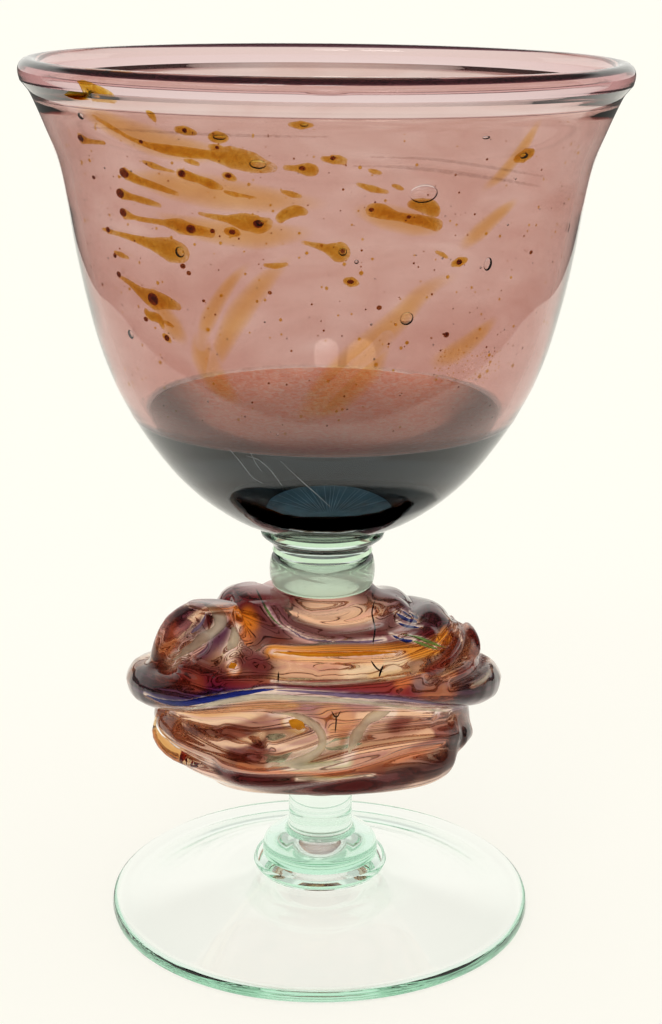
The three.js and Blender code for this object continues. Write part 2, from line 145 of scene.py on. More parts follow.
# Blown glass: soda-lime, index 1.5, with a mirror-smooth fire-polished face. Where its faces carry the
# attribute joint, the index goes to 1, so light passes without a mirror image, as in glass that was joined
# hot;
# where they carry calm it goes to 1 too, so that painted shade and reflection under the face show. ripple is
# (wavelength, height) in mm.
def blownGlass(name, takes, ripple, colour=None, roughness=None, mirror=1.0, tint="#ffffff", milky=False):
    material, tree = emptyMaterial(name)
    place = objectPlace(tree)
    joint = add(tree, "ShaderNodeAttribute", {"attribute_name": "joint"})
    calm = add(tree, "ShaderNodeAttribute", {"attribute_name": "calm"})
    both = add(tree, "ShaderNodeMath", {"operation": "MAXIMUM"}, {
        0: joint.outputs["Fac"], 1: calm.outputs["Fac"]})
    index = add(tree, "ShaderNodeMapRange", inputs={"Value": both, "To Min": 1.5, "To Max": 1.0})
    wave = add(tree, "ShaderNodeTexNoise", inputs={
        "Vector": place, "Scale": 1 / (ripple[0] * mm), "Detail": 1.5, "Roughness": 0.4})
    bump = add(tree, "ShaderNodeBump", inputs={"Height": wave, "Distance": ripple[1] * mm, "Strength": 1.0})
    surface = add(tree, "ShaderNodeBsdfPrincipled", inputs={
        "Base Color": linear(tint), "Roughness": 0.0, "Transmission Weight": 1.0, "IOR": index,
        "Specular Tint": (mirror, mirror, mirror, 1), "Normal": bump})
    # on the bead this pale scatter is also painted light, for the light that comes through it from behind
    if milky:  # seeds scatter part of the light that meets the outer face
        milk = add(tree, "ShaderNodeAttribute", {"attribute_name": "milk"})
        side = add(tree, "ShaderNodeNewGeometry")
        inner = add(tree, "ShaderNodeMath", {"operation": "SUBTRACT"}, {0: 1.0, 1: milk.outputs["Fac"]})
        clear = add(tree, "ShaderNodeMath", {"operation": "MAXIMUM"}, {
            0: side.outputs["Backfacing"], 1: inner})
        tree.links.new(clear.outputs[0], surface.inputs["Transmission Weight"])
    if colour:
        tree.links.new(colour(tree, place).outputs[0], surface.inputs["Base Color"])
    if roughness:
        tree.links.new(roughness(tree).outputs[0], surface.inputs["Roughness"])
    add(tree, "ShaderNodeOutputMaterial", inputs={"Surface": surface, "Volume": absorption(tree, takes)})
    return material


# Coloured glass inside glass: it has the same index, so only its colour shows. grain is the size of its
# clouds in mm.
def colouredInside(name, takes, tint="#f4f0ee", grain=1.2):
    material, tree = emptyMaterial(name)
    depth = cloudDepth(tree, objectPlace(tree), grain, {"Detail": 2.0, "Distortion": 1.0},
                       (0.35, 0.65), (0.2, 1.6))
    colour = add(tree, "ShaderNodeGamma", inputs={"Color": linear(tint), "Gamma": depth})
    surface = add(tree, "ShaderNodeBsdfPrincipled", inputs={
        "Base Color": colour, "Roughness": 0.0, "Transmission Weight": 1.0, "IOR": 1.0,
        "Specular IOR Level": 0.0})
    add(tree, "ShaderNodeOutputMaterial", inputs={"Surface": surface, "Volume": absorption(tree, takes)})
    return material


# Opal and dark glass inside glass. clear is the share of light that goes through, and the rest is scattered.
def threadGlass(name, hexColour, clear):
    material, tree = emptyMaterial(name)
    tone = cloudDepth(tree, objectPlace(tree), 3, {"Detail": 2.0}, (0, 1), (0.7, 1.3))
    colour = add(tree, "ShaderNodeVectorMath", {"operation": "SCALE"}, {
        0: linear(hexColour)[:3], "Scale": tone})
    surface = add(tree, "ShaderNodeBsdfPrincipled", inputs={
        "Base Color": colour, "Roughness": 0.5, "Transmission Weight": clear, "IOR": 1.05,
        "Specular IOR Level": 0.0})
    add(tree, "ShaderNodeOutputMaterial", inputs={"Surface": surface})
    return material


# Air in glass: the index is that of air seen from inside the glass
def airInside(name):
    material, tree = emptyMaterial(name)
    wave = add(tree, "ShaderNodeTexNoise", inputs={"Vector": objectPlace(tree), "Scale": 1 / (0.8 * mm)})
    bump = add(tree, "ShaderNodeBump", inputs={"Height": wave, "Distance": 0.005 * mm})
    surface = add(tree, "ShaderNodeBsdfPrincipled", inputs={
        "Base Color": (1, 1, 1, 1), "Roughness": 0.0, "Transmission Weight": 1.0, "IOR": 1 / 1.5,
        "Normal": bump})
    add(tree, "ShaderNodeOutputMaterial", inputs={"Surface": surface})
    return material


# Meshes

# Adds a finished piece of glass. nodes are the solids that it stands for.
def newPiece(name, mesh, material, nodes=(), smoothAngle=80):
    mesh.materials.clear()
    mesh.materials.append(material)
    mesh.shade_smooth()
    mesh.set_sharp_from_angle(angle=math.radians(smoothAngle))
    piece = bpy.data.objects.new(name, mesh)
    scene.collection.objects.link(piece)
    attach(piece, "root")
    if nodes:
        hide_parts(*nodes)
    return piece


def pointOut(mesh):
    work = bmesh.new()
    work.from_mesh(mesh)
    bmesh.ops.recalc_face_normals(work, faces=work.faces)
    work.to_mesh(mesh)
    work.free()


def closedMesh(name, corners, faces):
    mesh = bpy.data.meshes.new(name)
    mesh.from_pydata(corners, [], faces)
    pointOut(mesh)
    return mesh


def mark(mesh, attribute, values, domain="POINT"):
    mesh.attributes.new(attribute, "FLOAT", domain).data.foreach_set("value", values)


# The plain mesh that a mesh becomes under the modifiers that addModifiers gives its object
def modified(mesh, addModifiers):
    holder = bpy.data.objects.new("blank", mesh)
    scene.collection.objects.link(holder)
    addModifiers(holder)
    result = bpy.data.meshes.new_from_object(holder.evaluated_get(bpy.context.evaluated_depsgraph_get()))
    bpy.data.objects.remove(holder)
    return result


def vertexArray(mesh, key="co"):
    values = np.empty(len(mesh.vertices) * 3)
    mesh.vertices.foreach_get(key, values)
    return values.reshape(-1, 3)


def treeOf(mesh):
    return BVHTree.FromPolygons([v.co for v in mesh.vertices], [face.vertices for face in mesh.polygons])


# The outline of a turned CAD node, as (radius, height) points in the order in which they join, and whether
# it closes on itself
def outlineOf(node):
    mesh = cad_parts[node].data
    keys = [(round(math.hypot(v.co.x, v.co.y), 5), round(v.co.z, 5)) for v in mesh.vertices]
    beside = {key: set() for key in keys}
    for edge in mesh.edges:
        a, b = (keys[i] for i in edge.vertices)
        if a != b:
            beside[a].add(b)
            beside[b].add(a)
    onAxis = sorted((key for key in beside if key[0] == 0), key=lambda key: key[1])
    chain = [onAxis[0] if onAxis else min(beside)]
    while True:
        ahead = [key for key in sorted(beside[chain[-1]]) if key not in chain]
        if not ahead:
            return chain, not onAxis
        chain.append(ahead[0])


# Whether all of these heights are that of one fused face
def isFused(heights, fused):
    return any(all(abs(height - h) < sameHeight for height in heights) for h in fused)


# Rounds an outline between its points and keeps its corners, which turn by more degrees than corner.
# Returns points and, for each, 1 if the stretch that starts there is a fused face.
def roundedOutline(points, closed, fused, stepLength, corner=35):
    flat = [np.array(p, float) for p in points]
    count = len(flat)

    def at(i):
        return flat[i % count] if closed else flat[min(max(i, 0), count - 1)]

    def turnAt(i):
        if not closed and i in (0, count - 1):
            return 180
        before, after = at(i) - at(i - 1), at(i + 1) - at(i)
        cosine = before @ after / (np.linalg.norm(before) * np.linalg.norm(after))
        return math.degrees(math.acos(max(-1, min(1, cosine))))

    outline, joint = [], []
    for i in range(count if closed else count - 1):
        a, b = at(i), at(i + 1)
        length = np.linalg.norm(b - a)
        steps = max(1, round(length / stepLength))
        before = a - (b - a) if turnAt(i) > corner else at(i - 1)
        after = b + (b - a) if turnAt(i + 1) > corner else at(i + 2)
        startSlope = (b - before) * length / (length + np.linalg.norm(a - before))
        endSlope = (after - a) * length / (length + np.linalg.norm(after - b))
        for step in range(steps):
            t = step / steps
            p = ((2 * t ** 3 - 3 * t ** 2 + 1) * a + (t ** 3 - 2 * t ** 2 + t) * startSlope
                 + (3 * t ** 2 - 2 * t ** 3) * b + (t ** 3 - t ** 2) * endSlope)
            outline.append((max(p[0], 0.0), p[1]))
            joint.append(float(isFused((a[1], b[1]), fused)))
    if not closed:
        outline.append(tuple(flat[-1]))
    return outline, joint


# Hand work leaves nothing quite round: swells that go round and up the whole glass. Each is its size, its
# waves round, its radians per mm of height, and where it starts.
handSwells = [(0.45, 2, 0.02, 0.7), (0.3, 3, -0.05, 2.1), (0.18, 5, 0.09, 4.0), (0.1, 1, 0.33, 0.0)]


def handWobble(points, share):
    angle = np.arctan2(points[:, 1], points[:, 0])
    height = points[:, 2] / mm
    swell = sum(size * np.sin(waves * angle + climb * height + start)
                for size, waves, climb, start in handSwells)
    points[:, :2] *= (1 + share * swell)[:, None]
    return points


# Turns an outline into a closed mesh, with the fused faces marked
def turnedMesh(name, outline, joint, closed, facets, wobble):
    rows, corners = [], []
    for radius, height in outline:
        if radius < 1e-7:
            rows.append([len(corners)])
            corners.append((0, 0, height))
            continue
        rows.append(range(len(corners), len(corners) + facets))
        for i in range(facets):
            angle = 2 * math.pi * i / facets
            corners.append((radius * math.cos(angle), radius * math.sin(angle), height))
    faces, marks = [], []
    for k in range(len(rows) if closed else len(rows) - 1):
        a, b = rows[k], rows[(k + 1) % len(rows)]
        for i in range(facets):
            j = (i + 1) % facets
            if len(a) == 1:
                faces.append((a[0], b[j], b[i]))
            elif len(b) == 1:
                faces.append((a[i], a[j], b[0]))
            else:
                faces.append((a[i], a[j], b[j], b[i]))
            marks.append(joint[k])
    mesh = closedMesh(name, handWobble(np.array(corners), wobble).tolist(), faces)
    mark(mesh, "joint", marks, "FACE")
    return mesh


# A turned piece that stands for its CAD node. The faces at the heights in fused are joined to a neighbour.
# reshape may redraw a closed outline.
def turnedPiece(node, material, fused, facets, stepLength, wobble, reshape=None):
    points, closed = outlineOf(node)
    outline, joint = roundedOutline(points, closed, fused, stepLength * mm)
    if reshape:
        outline = reshape(outline)
        joint = [float(isFused((here[1], ahead[1]), fused))
                 for here, ahead in zip(outline, outline[1:] + outline[:1])]
    middle = (bottomOf[node] + topOf[node]) / 2
    outline = [(radius, height + (fuseGap if height < middle else -fuseGap))
               if isFused((height,), fused) else (radius, height) for radius, height in outline]
    mesh = turnedMesh(node + "_glass", outline, joint, closed, facets, wobble)
    for vertex in mesh.vertices:  # the wobble stays within the box of the solids
        vertex.co = [min(max(c, least), most) for c, least, most in zip(vertex.co, *cadBox)]
    return newPiece(node + "_glass", mesh, material, [node], smoothAngle=40)


# Green soda-lime glass: clear, with the faint green of iron in the sand that shows where it is thick.
# Lengths are in mm, angles in radians. milk is the share of light that seeds scatter: on the bead it rises
# from the bottom and falls towards the top, and there its pale scatter is also painted light, for the light
# that comes through the bead from behind; on the button it is an oval at a pixel.
greenLook = {
    "takes": (0.0095, 0.0024, 0.006), "ripple": (9, 0.03), "wobble": 0.006,
    "swirl": 0.22, "swirlFrom": 20, "swirlTo": 34, "swirlTurn": 6.5, "swirls": (1.08, 2.64),
    "swirlWidth": 0.35,
    "milkTint": "#e6f3df", "beadMilk": 0.6, "beadMilkRise": 0.8, "beadMilkFall": 2.2,
    "buttonMilk": 0.8, "buttonMilkAt": (320, 846), "buttonMilkReach": (22, 10),
}
greenGlass = blownGlass("green_soda_lime_glass", greenLook["takes"], greenLook["ripple"])
seedyGlassWithPaintedLight = blownGlass("seedy_green_glass_with_painted_light", greenLook["takes"], greenLook["ripple"],
                        tint=greenLook["milkTint"], milky=True)
milkyGlass = blownGlass("milky_green_glass", greenLook["takes"], greenLook["ripple"], milky=True)

greenMeshes = {}
for node, glass, facets, step in (
        ("foot", greenGlass, 224, 1.2), ("foot_button", milkyGlass, 128, 0.5),
        ("lower_stem", greenGlass, 96, 0.7), ("stem_bead", seedyGlassWithPaintedLight, 112, 0.45),
        ("stem_collar", greenGlass, 128, 0.35)):
    # the foot stands on the table, and the bead only rests on the knop
    fused = [h for h in (bottomOf[node], topOf[node]) if h > 1 * mm and h != bottomOf["stem_bead"]]
    greenMeshes[node] = turnedPiece(node, glass, fused, facets, step, greenLook["wobble"]).data

# Fine seeds make the bead milky, and the button where the stem stands on it. On the bead the milk is also
# painted light, which brightens it as light from behind would.
beadMesh, buttonMesh = greenMeshes["stem_bead"], greenMeshes["foot_button"]
beadBottom, beadTop = bottomOf["stem_bead"], topOf["stem_bead"]
mark(beadMesh, "milk", [greenLook["beadMilk"] * min(
    easeShare(v.co.z, beadBottom, beadBottom + greenLook["beadMilkRise"] * mm),
    1 - easeShare(v.co.z, beadTop - greenLook["beadMilkFall"] * mm, beadTop)) for v in beadMesh.vertices])
milk = []
for vertex in buttonMesh.vertices:
    away = sum(((p - middle) / reach) ** 2 for p, middle, reach in zip(
        pixelOf(vertex.co), greenLook["buttonMilkAt"], greenLook["buttonMilkReach"]))
    milk.append((vertex.co.y < 0) * greenLook["buttonMilk"] * math.exp(-away))
mark(buttonMesh, "milk", milk)

# Swirls that the paddle left on the foot, at the left and right behind the button
swirlFrom, swirlTo = greenLook["swirlFrom"], greenLook["swirlTo"]
for vertex in greenMeshes["foot"].vertices:
    radius = math.hypot(vertex.co.x, vertex.co.y) / mm
    if vertex.normal.z > 0.5 and swirlFrom < radius < swirlTo:
        angle = math.atan2(vertex.co.y, vertex.co.x)
        there = max(math.exp(-((angle - swirl) / greenLook["swirlWidth"]) ** 2)
                    for swirl in greenLook["swirls"])
        across = math.sin(math.pi * (radius - swirlFrom) / (swirlTo - swirlFrom))
        wave = math.sin(2 * math.pi * radius / greenLook["swirlTurn"] + 3 * angle) ** 2
        vertex.co.z -= greenLook["swirl"] * mm * there * across * wave
print("green glass done")

# Smoke-grey glass: solid under the bowl, with a thin skin of the wall's glass on its floor. Round skinAt, in
# mm across and into the glass, the skin is deeper by skinMore.
smokeLook = {
    "takes": (0.0510, 0.0490, 0.0480), "ripple": (16, 0.02), "wobble": 0.0025,
    "skin": "#f59274", "skinGrain": 1.6, "skinRoughness": 0.42, "skinMore": 1.5, "skinAt": (0, -23),
    "skinReach": (15, 8),
}


# The skin counts only on the way in from the air, as the base under it is clear
def skinFromAir(tree):
    skin = add(tree, "ShaderNodeAttribute", {"attribute_name": "skin"})
    side = add(tree, "ShaderNodeNewGeometry")
    fromAir = add(tree, "ShaderNodeMath", {"operation": "SUBTRACT"}, {0: 1.0, 1: side.outputs["Backfacing"]})
    return add(tree, "ShaderNodeMath", {"operation": "MULTIPLY"}, {0: skin.outputs["Fac"], 1: fromAir})


def floorColour(tree, place):
    depth = cloudDepth(tree, place, smokeLook["skinGrain"], {"Detail": 4.0, "Distortion": 1.5},
                       (0.3, 0.7), (0.5, 1.6))
    uneven = add(tree, "ShaderNodeMath", {"operation": "MULTIPLY"}, {0: depth, 1: skinFromAir(tree)})
    return add(tree, "ShaderNodeGamma", inputs={"Color": linear(smokeLook["skin"]), "Gamma": uneven})


def floorRoughness(tree):
    return add(tree, "ShaderNodeMath", {"operation": "MULTIPLY", "use_clamp": True}, {
        0: skinFromAir(tree), 1: smokeLook["skinRoughness"]})


smokeGlass = blownGlass("smoke_grey_soda_lime_glass", smokeLook["takes"], smokeLook["ripple"], floorColour,
                        floorRoughness)
base = turnedPiece("bowl_base", smokeGlass, [bottomOf["bowl_base"], topOf["bowl_base"]],
                   256, 0.6, smokeLook["wobble"]).data
floorRadius = min(math.hypot(v.co.x, v.co.y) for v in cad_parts["bowl_wall"].data.vertices)
skinShare = []
for vertex in base.vertices:
    onFloor = vertex.normal.z > 0.3 and math.hypot(vertex.co.x, vertex.co.y) < floorRadius - 0.05 * mm
    away = sum(((p / mm - middle) / reach) ** 2 for p, middle, reach in zip(
        vertex.co.xy, smokeLook["skinAt"], smokeLook["skinReach"]))
    skinShare.append(onFloor * (1 + smokeLook["skinMore"] * math.exp(-away)))
mark(base, "skin", skinShare)

# Amethyst glass, coloured with manganese. The wall is thinner by thinBy mm from the height thinTo mm on. Its
# colour lies in clouds that were drawn out and turned as it was blown.
amethystLook = {
    "takes": (0.067, 0.133, 0.143), "ripple": (11, 0.02), "wobble": 0.0025,
    "thinBy": 0.65, "thinFrom": 118, "thinTo": 160,
    "tint": "#f1e3df", "clouds": 0.5, "cloudSize": 24, "cloudTurn": (0.5, 0.35, 0), "cloudDraw": (1, 1, 2.4),
}


def cloudedTint(tree, place):
    drawn = add(tree, "ShaderNodeMapping", inputs={
        "Vector": place, "Rotation": amethystLook["cloudTurn"], "Scale": amethystLook["cloudDraw"]})
    depth = cloudDepth(tree, drawn, amethystLook["cloudSize"],
                       {"Detail": 3.0, "Roughness": 0.55, "Distortion": 0.6},
                       (0.3, 0.7), (1 - amethystLook["clouds"], 1 + amethystLook["clouds"]))
    return add(tree, "ShaderNodeGamma", inputs={"Color": linear(amethystLook["tint"]), "Gamma": depth})


# The lip: pale glass, with a dark thread in it that is painted shade, for the dark room that the round of the
# lip bends into view. Its half widths are given by height, and the thread by its place out from and up from
# the middle of the round, all in mm.
lip = {
    "takes": (0.045, 0.10, 0.10), "ripple": (8, 0.03), "wobble": 0.0025,
    "widths": [(172.6, 0.9), (173.6, 0.95), (174.4, 1.12), (175.2, 1.5), (176.2, 1.93), (177.2, 2.18),
               (178.0, 2.25)],
    "turnBlend": 1.5, "middleIn": 0.9, "middleInAtTop": 0.35,
    "threadOut": 0.8, "threadUp": 1.25, "threadRadius": 0.55, "threadTakes": (2.6, 3.4, 3.0),
}
lipWidths = np.array(lip["widths"])


# Radii at which an outline crosses a height
def crossings(outline, height):
    found = []
    for (r1, z1), (r2, z2) in zip(outline, outline[1:] + outline[:1]):
        if (z1 - height) * (z2 - height) <= 0 and z1 != z2:
            found.append(r1 + (r2 - r1) * (height - z1) / (z2 - z1))
    return min(found), max(found)


def lipHalf(height):
    return float(np.interp(height / mm, lipWidths[:, 0], lipWidths[:, 1])) * mm


# The wall was drawn thinner as it was blown, and swells into the lip without a crease
def thinnedWall(outline):
    low, seat = bottomOf["bowl_wall"], topOf["bowl_wall"]
    turnStart, blend = lipWidths[0, 0] * mm, lip["turnBlend"] * mm
    outer, inner = [], []
    count = round((seat - low) / (0.55 * mm))
    for step in range(count + 1):
        z = low + (seat - low) * step / count
        near, far = crossings(outline, min(max(z, low + 1e-6), seat - 1e-6))
        thinner = easeShare(z / mm, amethystLook["thinFrom"], amethystLook["thinTo"])
        share = easeShare(z, turnStart - blend, turnStart + blend)
        middle = far - (lip["middleIn"] + lip["middleInAtTop"] * easeShare(z, turnStart, seat)) * mm
        outer.append(((1 - share) * far + share * (middle + lipHalf(z)), z))
        thinnedNear = near + thinner * amethystLook["thinBy"] * mm
        inner.append(((1 - share) * thinnedNear + share * (middle - lipHalf(z)), z))
    return outer + inner[::-1]


# The middle and the radius of the lip's round
def lipRound(outline):
    farthest, nearest = max(p[0] for p in outline), min(p[0] for p in outline)
    return (farthest + nearest) / 2, (farthest - nearest) / 2


def lipOutline(outline):
    seat = bottomOf["lip_wrap"]
    centre, radius = lipRound(outline)
    centreHeight = topOf["lip_wrap"] - radius
    steps = 7
    rise = [seat + (centreHeight - seat) * i / steps for i in range(steps)]
    right = [(centre + lipHalf(z), z) for z in rise]
    left = [(centre - lipHalf(z), z) for z in reversed(rise)]
    turn = [math.pi * i / 22 for i in range(23)]
    return right + [(centre + radius * math.cos(t), centreHeight + radius * math.sin(t)) for t in turn] + left


amethystGlass = blownGlass("amethyst_manganese_glass", amethystLook["takes"], amethystLook["ripple"],
                           cloudedTint)
lipGlass = blownGlass("dark_amethyst_glass", lip["takes"], lip["ripple"])
wall = turnedPiece("bowl_wall", amethystGlass, [bottomOf["bowl_wall"], topOf["bowl_wall"]],
                   288, 0.8, amethystLook["wobble"], thinnedWall).data
turnedPiece("lip_wrap", lipGlass, [bottomOf["lip_wrap"]], 288, 0.45, lip["wobble"], lipOutline)

# The dark thread in the lip is painted shade: the dark line that the lip's round bends in from the room
threadMiddle, roundRadius = lipRound(outlineOf("lip_wrap")[0])
threadHeight = topOf["lip_wrap"] - roundRadius
threadSides = 14
threadTurn = [2 * math.pi * i / threadSides for i in range(threadSides)]
threadOutline = [(threadMiddle + (lip["threadOut"] + lip["threadRadius"] * math.cos(t)) * mm,
                  threadHeight + (lip["threadUp"] + lip["threadRadius"] * math.sin(t)) * mm)
                 for t in threadTurn]
threadMesh = turnedMesh("lip_painted_shade_thread", threadOutline, [0.0] * threadSides, True, 288, lip["wobble"])
newPiece("lip_painted_shade_thread", threadMesh, colouredInside("painted_shade_thread_glass", lip["threadTakes"]),
         smoothAngle=40)
print("bowl done")

# Knop: the core and its trails, run together as they were in the fire, then pulled into folds.
# Routes are in pixels of the photograph, and lie on whatever part of the knop is met there. Lengths are in
# mm. The plug carries the stem up into the knop. bandDepth and backDepth say how strong the bands are at the
# front and back, between the places in backRange. The front is smoothed by frontSmoothing steps, as far as
# it faces forward, but hardly within nearTrail of the ridge and the ear or within nearTop of the top.
knop = {
    "voxel": 0.5, "coreSwell": 0.2, "swell": 0.5, "smoothing": 24,
    "plugRadius": 7.45, "plugBelow": 3.6, "plugAbove": 4, "plugSpare": 1, "jointRadius": 7.2,
    "frontSmoothing": 130, "frontFrom": -1.4, "frontTo": -0.3, "nearTrail": 2.5, "nearTop": 4,
    "topShare": 0.15,
    "takes": (0.0015, 0.0045, 0.0065), "ripple": (6, 0.05), "mirror": 0.1,
    "bandDepth": 0.27, "backDepth": 0.1, "backRange": (-12, 10), "bandReach": 22, "bandRise": 7,
    "lean": 0.213, "swirlSize": 16, "swirlMoves": 14, "streakSize": 9, "streakDraw": (1, 1, 6),
    "bands": [(0.0, "#8a4c48"), (0.12, "#dca88a"), (0.24, "#c08070"), (0.34, "#e4b088"), (0.42, "#7a3844"),
              (0.5, "#6a2a34"), (0.56, "#d09048"), (0.64, "#c07838"), (0.74, "#7a3830"), (0.86, "#43182a"),
              (1.0, "#5a2430")],
}

# Folds: height in mm (less than 0 is a crease), half width in mm, and the route
foldStrokes = [
    (-1.7, 4.2, [(300, 609), (335, 612), (368, 608)]),
    (-0.9, 2.0, [(296, 617), (335, 624), (374, 615)]),
    (1.5, 3.0, [(262, 592), (281, 617), (320, 636), (372, 634), (398, 612)]),
    (-1.1, 0.9, [(256, 587), (271, 608), (290, 630), (324, 642), (373, 641), (402, 635)]),
    (1.8, 6.0, [(222, 604), (240, 597), (262, 596)]),
    (1.6, 6.5, [(404, 600), (425, 612), (446, 628)]),
    (0.8, 1.6, [(266, 648), (300, 651), (345, 650), (392, 648), (430, 636)]),
    (-0.9, 1.3, [(276, 656), (320, 657), (370, 658), (410, 656), (436, 648), (450, 632)]),
    (-1.4, 2.8, [(290, 669), (330, 671), (372, 668), (398, 665)]),
    (-0.8, 0.8, [(225, 684), (276, 680), (330, 683), (387, 677), (425, 672), (447, 664)]),
    (0.9, 1.2, [(397, 684), (420, 675), (440, 664), (452, 648), (455, 632), (447, 616)]),
    (-0.9, 0.9, [(428, 678), (448, 667), (462, 650), (463, 634), (456, 618)]),
    (0.9, 1.2, [(440, 680), (463, 670), (474, 652), (471, 636), (462, 620)]),
    (-0.8, 0.8, [(452, 683), (474, 672), (484, 657), (478, 640)]),
    (-0.8, 1.0, [(250, 655), (232, 652), (214, 668), (190, 660), (176, 655)]),
    (0.9, 1.4, [(262, 662), (246, 650), (228, 660), (205, 676), (182, 668)]),
    (-1.2, 1.6, [(232, 607), (240, 625), (250, 641), (262, 652)]),
    (-1.0, 1.8, [(190, 682), (215, 690), (245, 686)]),
    (-0.9, 2.2, [(262, 727), (300, 718), (330, 728)]),
    (1.0, 2.0, [(230, 735), (262, 745), (300, 737), (335, 722), (380, 716), (430, 716)]),
    (-1.0, 1.4, [(180, 730), (215, 748), (255, 757), (300, 748), (345, 735), (395, 728), (450, 722)]),
    (0.9, 1.8, [(225, 765), (262, 770), (310, 762), (360, 748), (410, 740), (455, 735)]),
    (-1.1, 1.3, [(240, 778), (290, 780), (340, 776), (372, 768), (405, 757), (440, 750)]),
    (1.3, 3.2, [(385, 775), (420, 769), (448, 760)]),
    (1.2, 2.2, [(462, 738), (468, 731)]),
    (-0.8, 1.0, [(248, 752), (258, 757), (268, 750), (262, 742)]),
]
